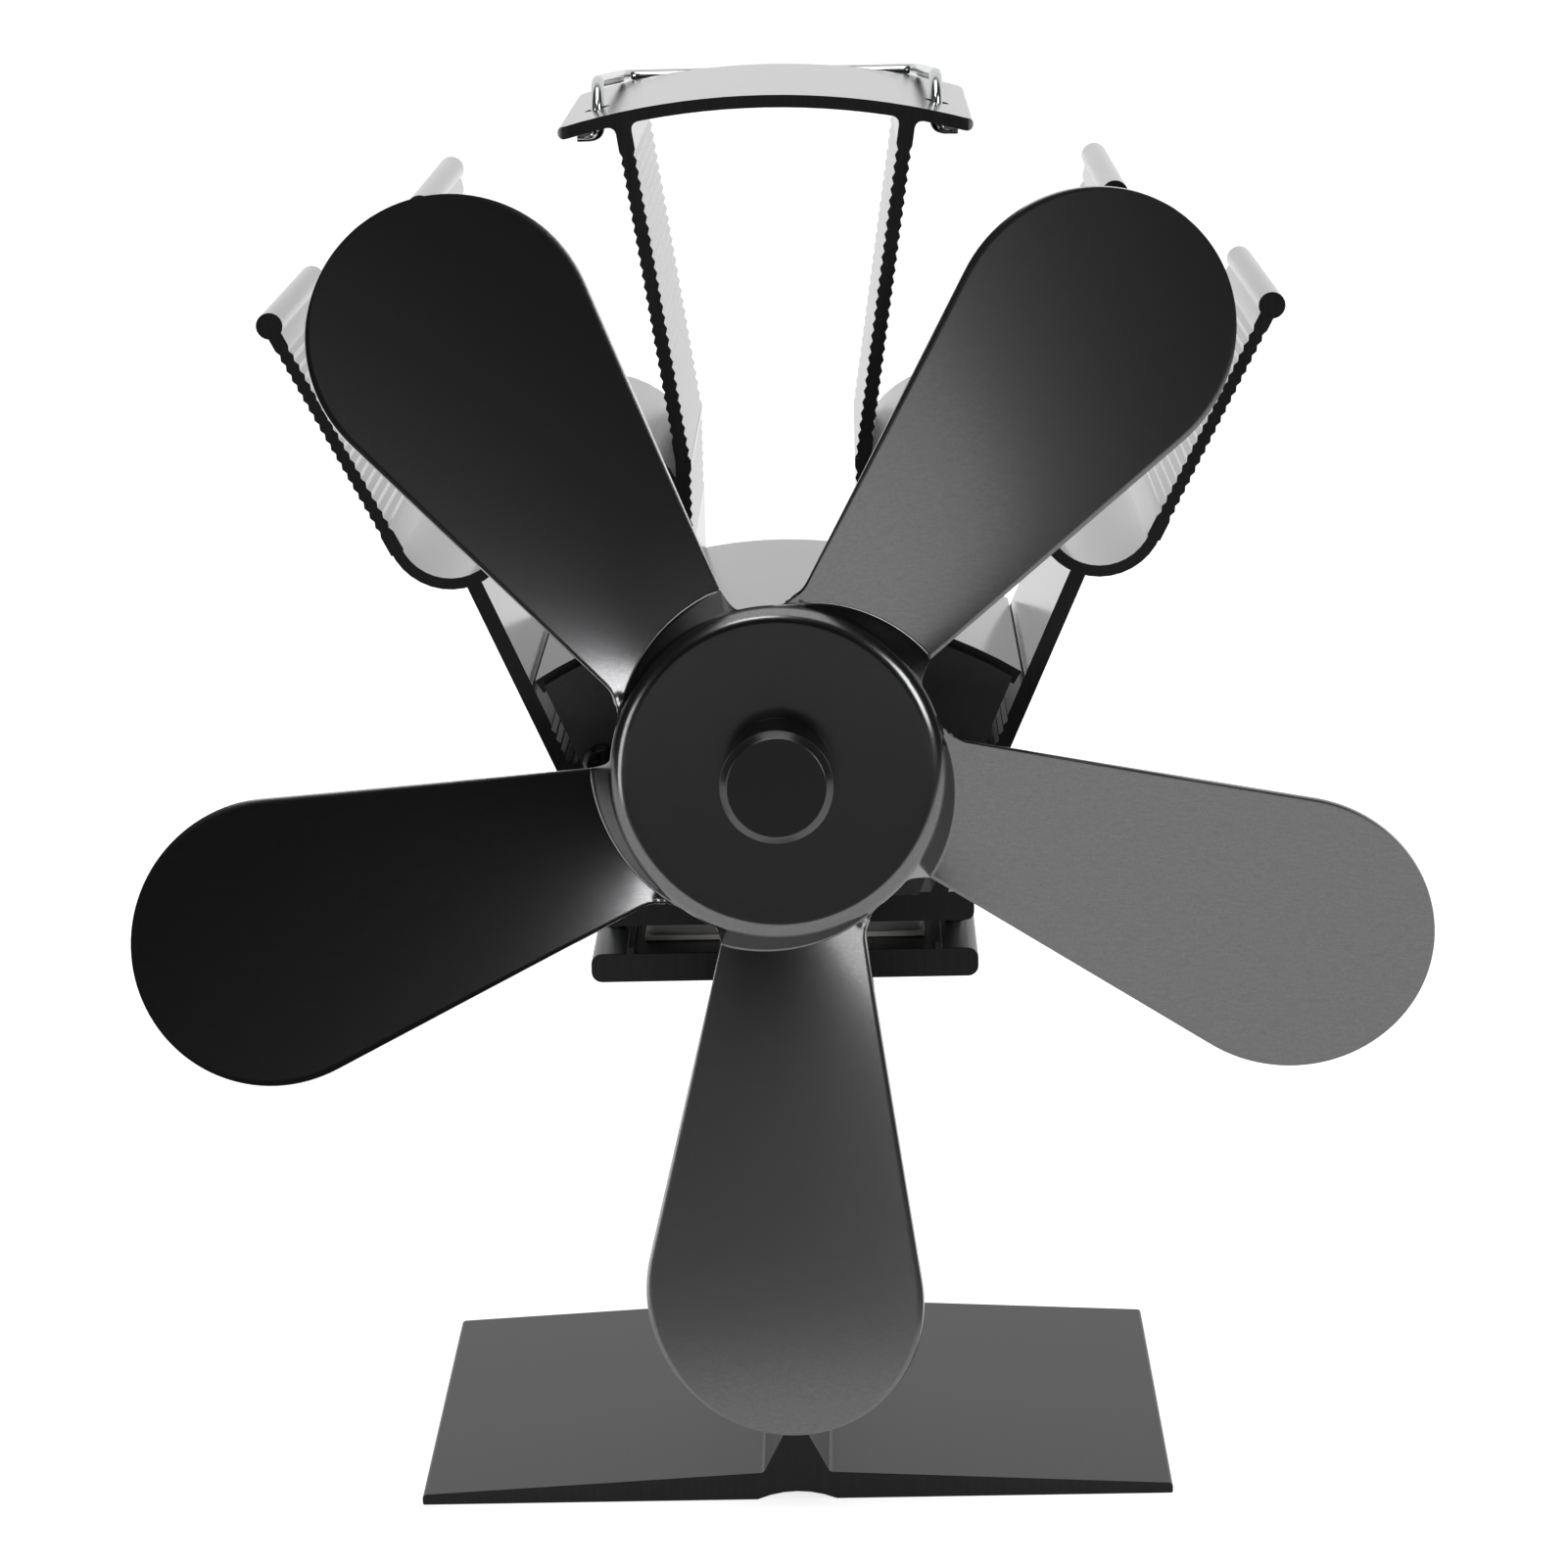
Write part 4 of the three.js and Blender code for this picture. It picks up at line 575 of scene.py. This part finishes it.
def hub_vertex(first, last):
    """The hub's piece between two angles. Most rings lie on the round and the wall."""
    def place(column, row):
        angle = mix(first, last, column)
        end = wall_end(angle)
        radius = mix(HUB_HOLE, ROUND_START, row / HUB_FACE_SHARE) if row <= HUB_FACE_SHARE else mix(
            ROUND_START, end, (row - HUB_FACE_SHARE) / (1 - HUB_FACE_SHARE))
        spot = polar(radius, angle)
        return spot.x, spot.y, sheet_depth(radius, angle)
    return place


def fan_wheel():
    one = [
        shaped_grid("blade", BLADE_COLUMNS, BLADE_ROWS, blade_vertex),
        shaped_grid("hub_beside_blade", BLADE_COLUMNS, HUB_ROWS, hub_vertex(BLADE_LEADING, SEAM_LAST)),
        shaped_grid("hub_beside_notch", NOTCH_COLUMNS, HUB_ROWS, hub_vertex(SEAM_LAST, NEXT_LEADING)),
    ]
    pieces = []
    for blade in range(BLADES):
        # Blender's angle about +Y runs the other way round than the blades are counted.
        turn = Matrix.Rotation(-math.radians(BLADE_FIRST + 360 / BLADES * blade), 4, "Y")
        for part in one:
            copy = part.copy()
            copy.data = part.data.copy()
            copy.data.transform(turn)
            bpy.context.scene.collection.objects.link(copy)
            pieces.append(copy)
    for part in one:
        bpy.data.objects.remove(part)
    deselect()
    for piece in pieces:
        piece.select_set(True)
    wheel = pieces[0]
    bpy.context.view_layer.objects.active = wheel
    bpy.ops.object.join()
    wheel.name = "fan_wheel_sheet"
    merge(wheel, WELD)
    bpy.ops.object.mode_set(mode="EDIT")
    bpy.ops.mesh.select_all(action="SELECT")
    bpy.ops.mesh.normals_make_consistent(inside=False)
    bpy.ops.object.mode_set(mode="OBJECT")
    # The open sheet faces forward.
    middle = max(wheel.data.polygons, key=lambda face: face.area)
    if middle.normal.y > 0:
        activate(wheel)
        bpy.ops.object.mode_set(mode="EDIT")
        bpy.ops.mesh.select_all(action="SELECT")
        bpy.ops.mesh.flip_normals()
        bpy.ops.object.mode_set(mode="OBJECT")
    modify(wheel, "SOLIDIFY", thickness=SHEET_THICKNESS * MM, offset=-1)
    broken_edges(wheel, SHEET_BEVEL, 2, 60)
    wheel.data.transform(Matrix.Translation(AXIS_POINT * MM)
                         @ Matrix.Rotation(-math.radians(AXIS_LEAN), 4, "X"))
    smooth(wheel, 35)
    stand_in(wheel, "fan_wheel")
    return wheel


# Wire handle: each end is part of a ring about the handle's own axis, with its tip turned outwards


def handle_line():
    """Points along the right half of the wire's middle line, from the hook to the crossbar."""
    half_span = HANDLE_SPAN / 2
    low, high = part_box("radiator")

    def ring(angle):
        return HANDLE_POINT + Vector((half_span, -HANDLE_RING * math.cos(math.radians(angle)),
                                      HANDLE_RING * math.sin(math.radians(angle))))

    hook_corner = ring(-HANDLE_HOOK)
    hook_turn = hook_corner + Vector((HOOK_LENGTH / 2, 0, 0))
    hook_tip = hook_corner + Vector((HOOK_LENGTH, 0, 0))
    hook_root = ring(HOOK_BEND - HANDLE_HOOK)
    points = [hook_tip] + curve(hook_turn, hook_corner, hook_root, HANDLE_STEPS)
    steps = 2 * HANDLE_STEPS
    points += [ring(mix(HOOK_BEND - HANDLE_HOOK, 90, i / steps)) for i in range(1, steps + 1)]
    top = frame_top("radiator")
    bar_x = half_span - HANDLE_NARROW
    edge_z = top - ARCH_RADIUS + math.sqrt(ARCH_RADIUS**2 - bar_x**2)
    rest_z = edge_z + WIRE + HANDLE_REST
    back = high.y / MM
    start = ring(90)
    fall = (start.z - rest_z) / (back - HANDLE_POINT.y)
    corner = Vector((bar_x, back + HANDLE_BEHIND, rest_z - fall * HANDLE_BEHIND))
    arm_end = corner - (corner - start).normalized() * HANDLE_BEND
    bar_start = corner - Vector((HANDLE_BEND, 0, 0))
    points += [start.lerp(arm_end, i / HANDLE_STEPS) for i in range(1, HANDLE_STEPS)]
    return points + curve(arm_end, corner, bar_start, HANDLE_STEPS)


def frame_top(node):
    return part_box(node)[1].z / MM


def curve(a, b, c, steps):
    """Points of a quadratic curve with one control point."""
    return [a.lerp(b, i / steps).lerp(b.lerp(c, i / steps), i / steps) for i in range(steps + 1)]


def carry_handle():
    right = handle_line()
    points = right + [Vector((-p.x, p.y, p.z)) for p in reversed(right)]
    deselect()
    bpy.ops.curve.primitive_nurbs_path_add()
    path = bpy.context.object
    path.name = "wire_handle"
    path.data.splines.clear()
    spline = path.data.splines.new("POLY")
    spline.points.add(len(points) - 1)
    for spot, point in zip(spline.points, points):
        spot.co = (*(point * MM), 1)
    path.data.dimensions = "3D"
    path.data.bevel_depth = WIRE * MM
    path.data.bevel_resolution = 6
    path.data.use_fill_caps = True
    activate(path)
    bpy.ops.object.convert(target="MESH")
    wire = bpy.context.object
    merge(wire, WELD)
    broken_edges(wire, WIRE_BEVEL, 3, 60)
    smooth(wire, 40)
    stand_in(wire, "carry_handle")
    return wire


# Pieces


def gets_painted_bay_shade(piece, face):
    """Whether a face of the radiator looks into the bay of the motor; those faces get the black of the sawn
    ends as painted shade.
    """
    x, _, z = face.center / MM
    if abs(x) > BAY_SIDE and BAY_LOW < z < BAY_HIGH and face.normal.x * x < 0:
        return True
    start = face.center + face.normal * MM
    way = Vector((0, face.center.y, (AXIS_POINT.z + BAY_ABOVE) * MM)) - start
    return not piece.ray_cast(start, way.normalized(), distance=way.length)[0]


def split_at_roof(piece):
    """Cuts the side walls' faces at the height of the roof, so that only the part below gets the painted
    shade.
    """
    activate(piece)
    bpy.ops.object.mode_set(mode="EDIT")
    bpy.ops.mesh.select_all(action="SELECT")
    bpy.ops.mesh.bisect(plane_co=(0, 0, BAY_HIGH * MM), plane_no=(0, 0, 1))
    bpy.ops.object.mode_set(mode="OBJECT")
    modify(piece, "WEIGHTED_NORMAL", keep_sharp=True)


MODELLED = {"fan_wheel": fan_wheel, "carry_handle": carry_handle}
for node_name in sorted(frame["nodes"]):
    if node_name in MODELLED:
        paint(MODELLED[node_name](), finish_of(node_name))
        continue
    copy = dressed_copy(node_name, COPY_BEVEL)
    if node_name in ("radiator", "base_extrusion"):
        paint(copy, finish_of(node_name), CUT_END_AND_BAY_SHADE)
        if node_name == "radiator":
            split_at_roof(copy)
        # Sawn ends take the second finish; on the radiator so do the faces inside the motor's bay, as
        # painted shade.
        for face in copy.data.polygons:
            if abs(face.normal.y) > END_FACE or (node_name == "radiator" and gets_painted_bay_shade(copy, face)):
                face.material_index = 1
    else:
        paint(copy, finish_of(node_name))


# Camera and studio

CAMERA_SPOT = (10.95, -589.32, 257.26)  # from the foot's front edge, on the floor
FOOT_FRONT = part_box("base_extrusion")[0].y / MM
PITCH = 14.2
YAW = -1.017
ROLL = 1.343
PICTURE = 1601  # pixels across the photograph
FOCAL = 4421.1  # in the same pixels
SENSOR = 36

camera_data = bpy.data.cameras.new("camera")
camera_data.sensor_width = SENSOR
camera_data.lens = SENSOR * FOCAL / PICTURE
camera = bpy.data.objects.new("camera", camera_data)
bpy.context.scene.collection.objects.link(camera)
turn = (Matrix.Rotation(-math.radians(YAW), 4, "Z") @ Matrix.Rotation(math.radians(90 - PITCH), 4, "X")
        @ Matrix.Rotation(-math.radians(ROLL), 4, "Z"))
spot = Vector((CAMERA_SPOT[0], CAMERA_SPOT[1] + FOOT_FRONT, CAMERA_SPOT[2])) * MM
camera.matrix_world = Matrix.Translation(spot) @ turn
camera_data.clip_start = 0.01
camera_data.clip_end = 50
bpy.context.scene.camera = camera


def softbox(name, place, aim, size, power):
    """A rectangular studio lamp that points at a spot on the object."""
    lamp = bpy.data.lights.new(name, "AREA")
    lamp.shape = "RECTANGLE"
    lamp.size, lamp.size_y = size
    lamp.energy = power
    holder = bpy.data.objects.new(name, lamp)
    holder.location = place
    holder.rotation_euler = (Vector(aim) - Vector(place)).to_track_quat("-Z", "Y").to_euler()
    bpy.context.scene.collection.objects.link(holder)
    return holder


AIM = (0, 0, 0.12)
softbox("top", (0.0, -0.45, 1.15), AIM, (0.8, 0.9), 4.5)
softbox("crown", (-0.16, -1.01, 0.93), AIM, (0.3, 0.2), 1.6)
softbox("left", (-0.94, -1.04, 0.19), AIM, (0.4, 0.6), 3)
softbox("right", (0.92, -1.09, 0.58), AIM, (0.45, 0.5), 6)

# The white studio lies behind the object, and the room in front of it is dark.
world = bpy.data.worlds.new("studio")
bpy.context.scene.world = world
world.use_nodes = True
way = add(world, "ShaderNodeTexCoord").outputs["Generated"]
axes = add(world, "ShaderNodeSeparateXYZ", links={"Vector": way})
height = add(world, "ShaderNodeMapRange", {"From Min": -1.0, "From Max": 1.0}, {"Value": axes.outputs["Z"]})
room = add(world, "ShaderNodeValToRGB", links={"Fac": height.outputs["Result"]})
SIDES = 0.05
ROOM = [(0.4, 0.05), (0.47, 0.08), (0.49, 0.36), (0.515, 0.28), (0.55, 0.015), (0.9, 0.02)]
for _ in ROOM[2:]:
    room.color_ramp.elements.new(0.5)
for stop, (position, light) in zip(room.color_ramp.elements, ROOM):
    stop.position = position
    stop.color = (light, light, light, 1)
# The light near the horizon is only there straight in front, and the room's sides are dark.
front = add(world, "ShaderNodeMapRange",
            {"From Min": -0.55, "From Max": -0.85, "interpolation_type": "SMOOTHSTEP"},
            {"Value": axes.outputs["Y"]})
sides = add(world, "ShaderNodeMix", {"data_type": "RGBA", 6: (SIDES, SIDES, SIDES, 1)},
            {0: front.outputs["Result"], 7: room.outputs["Color"]})
behind = add(world, "ShaderNodeMapRange",
             {"From Min": -0.05, "From Max": 0.4, "interpolation_type": "SMOOTHSTEP"},
             {"Value": axes.outputs["Y"]})
rays = add(world, "ShaderNodeLightPath")
white = add(world, "ShaderNodeMath", {"operation": "MAXIMUM"},
            {0: behind.outputs["Result"], 1: rays.outputs["Is Camera Ray"]})
studio = add(world, "ShaderNodeMix", {"data_type": "RGBA", 7: (1, 1, 1, 1)},
             {0: white.outputs[0], 6: sides.outputs[2]})
world.node_tree.links.new(studio.outputs[2], world.node_tree.nodes["Background"].inputs["Color"])

# A pale floor: it keeps the shadow, and a part of its own light lifts it to the backdrop's white.
FLOOR_FRONT = -0.45
FLOOR_BACK = 7.0
FLOOR_WIDTH = 8
FLOOR_GLOW = 0.75
bpy.ops.mesh.primitive_plane_add(size=1)
floor = bpy.context.object
floor.name = "floor"
floor.scale = (FLOOR_WIDTH, FLOOR_BACK - FLOOR_FRONT, 1)
floor.location = (0, (FLOOR_BACK + FLOOR_FRONT) / 2, 0)
pale = material("pale floor")
shader(pale, Base_Color=linear("#e6e6e6"), Roughness=0.9, Specular_IOR_Level=0.0)
pale_body = pale.node_tree.nodes["Principled BSDF"]
rays = add(pale, "ShaderNodeLightPath")
seen = add(pale, "ShaderNodeMath", {"operation": "MAXIMUM"},
           {0: rays.outputs["Is Camera Ray"], 1: rays.outputs["Is Glossy Ray"]})
glow = add(pale, "ShaderNodeMath", {"operation": "MULTIPLY", 1: FLOOR_GLOW}, {0: seen.outputs[0]})
pale.node_tree.links.new(glow.outputs[0], pale_body.inputs["Emission Strength"])
pale_body.inputs["Emission Color"].default_value = (1, 1, 1, 1)
floor.data.materials.append(pale)

bpy.context.scene.view_settings.view_transform = "Standard"
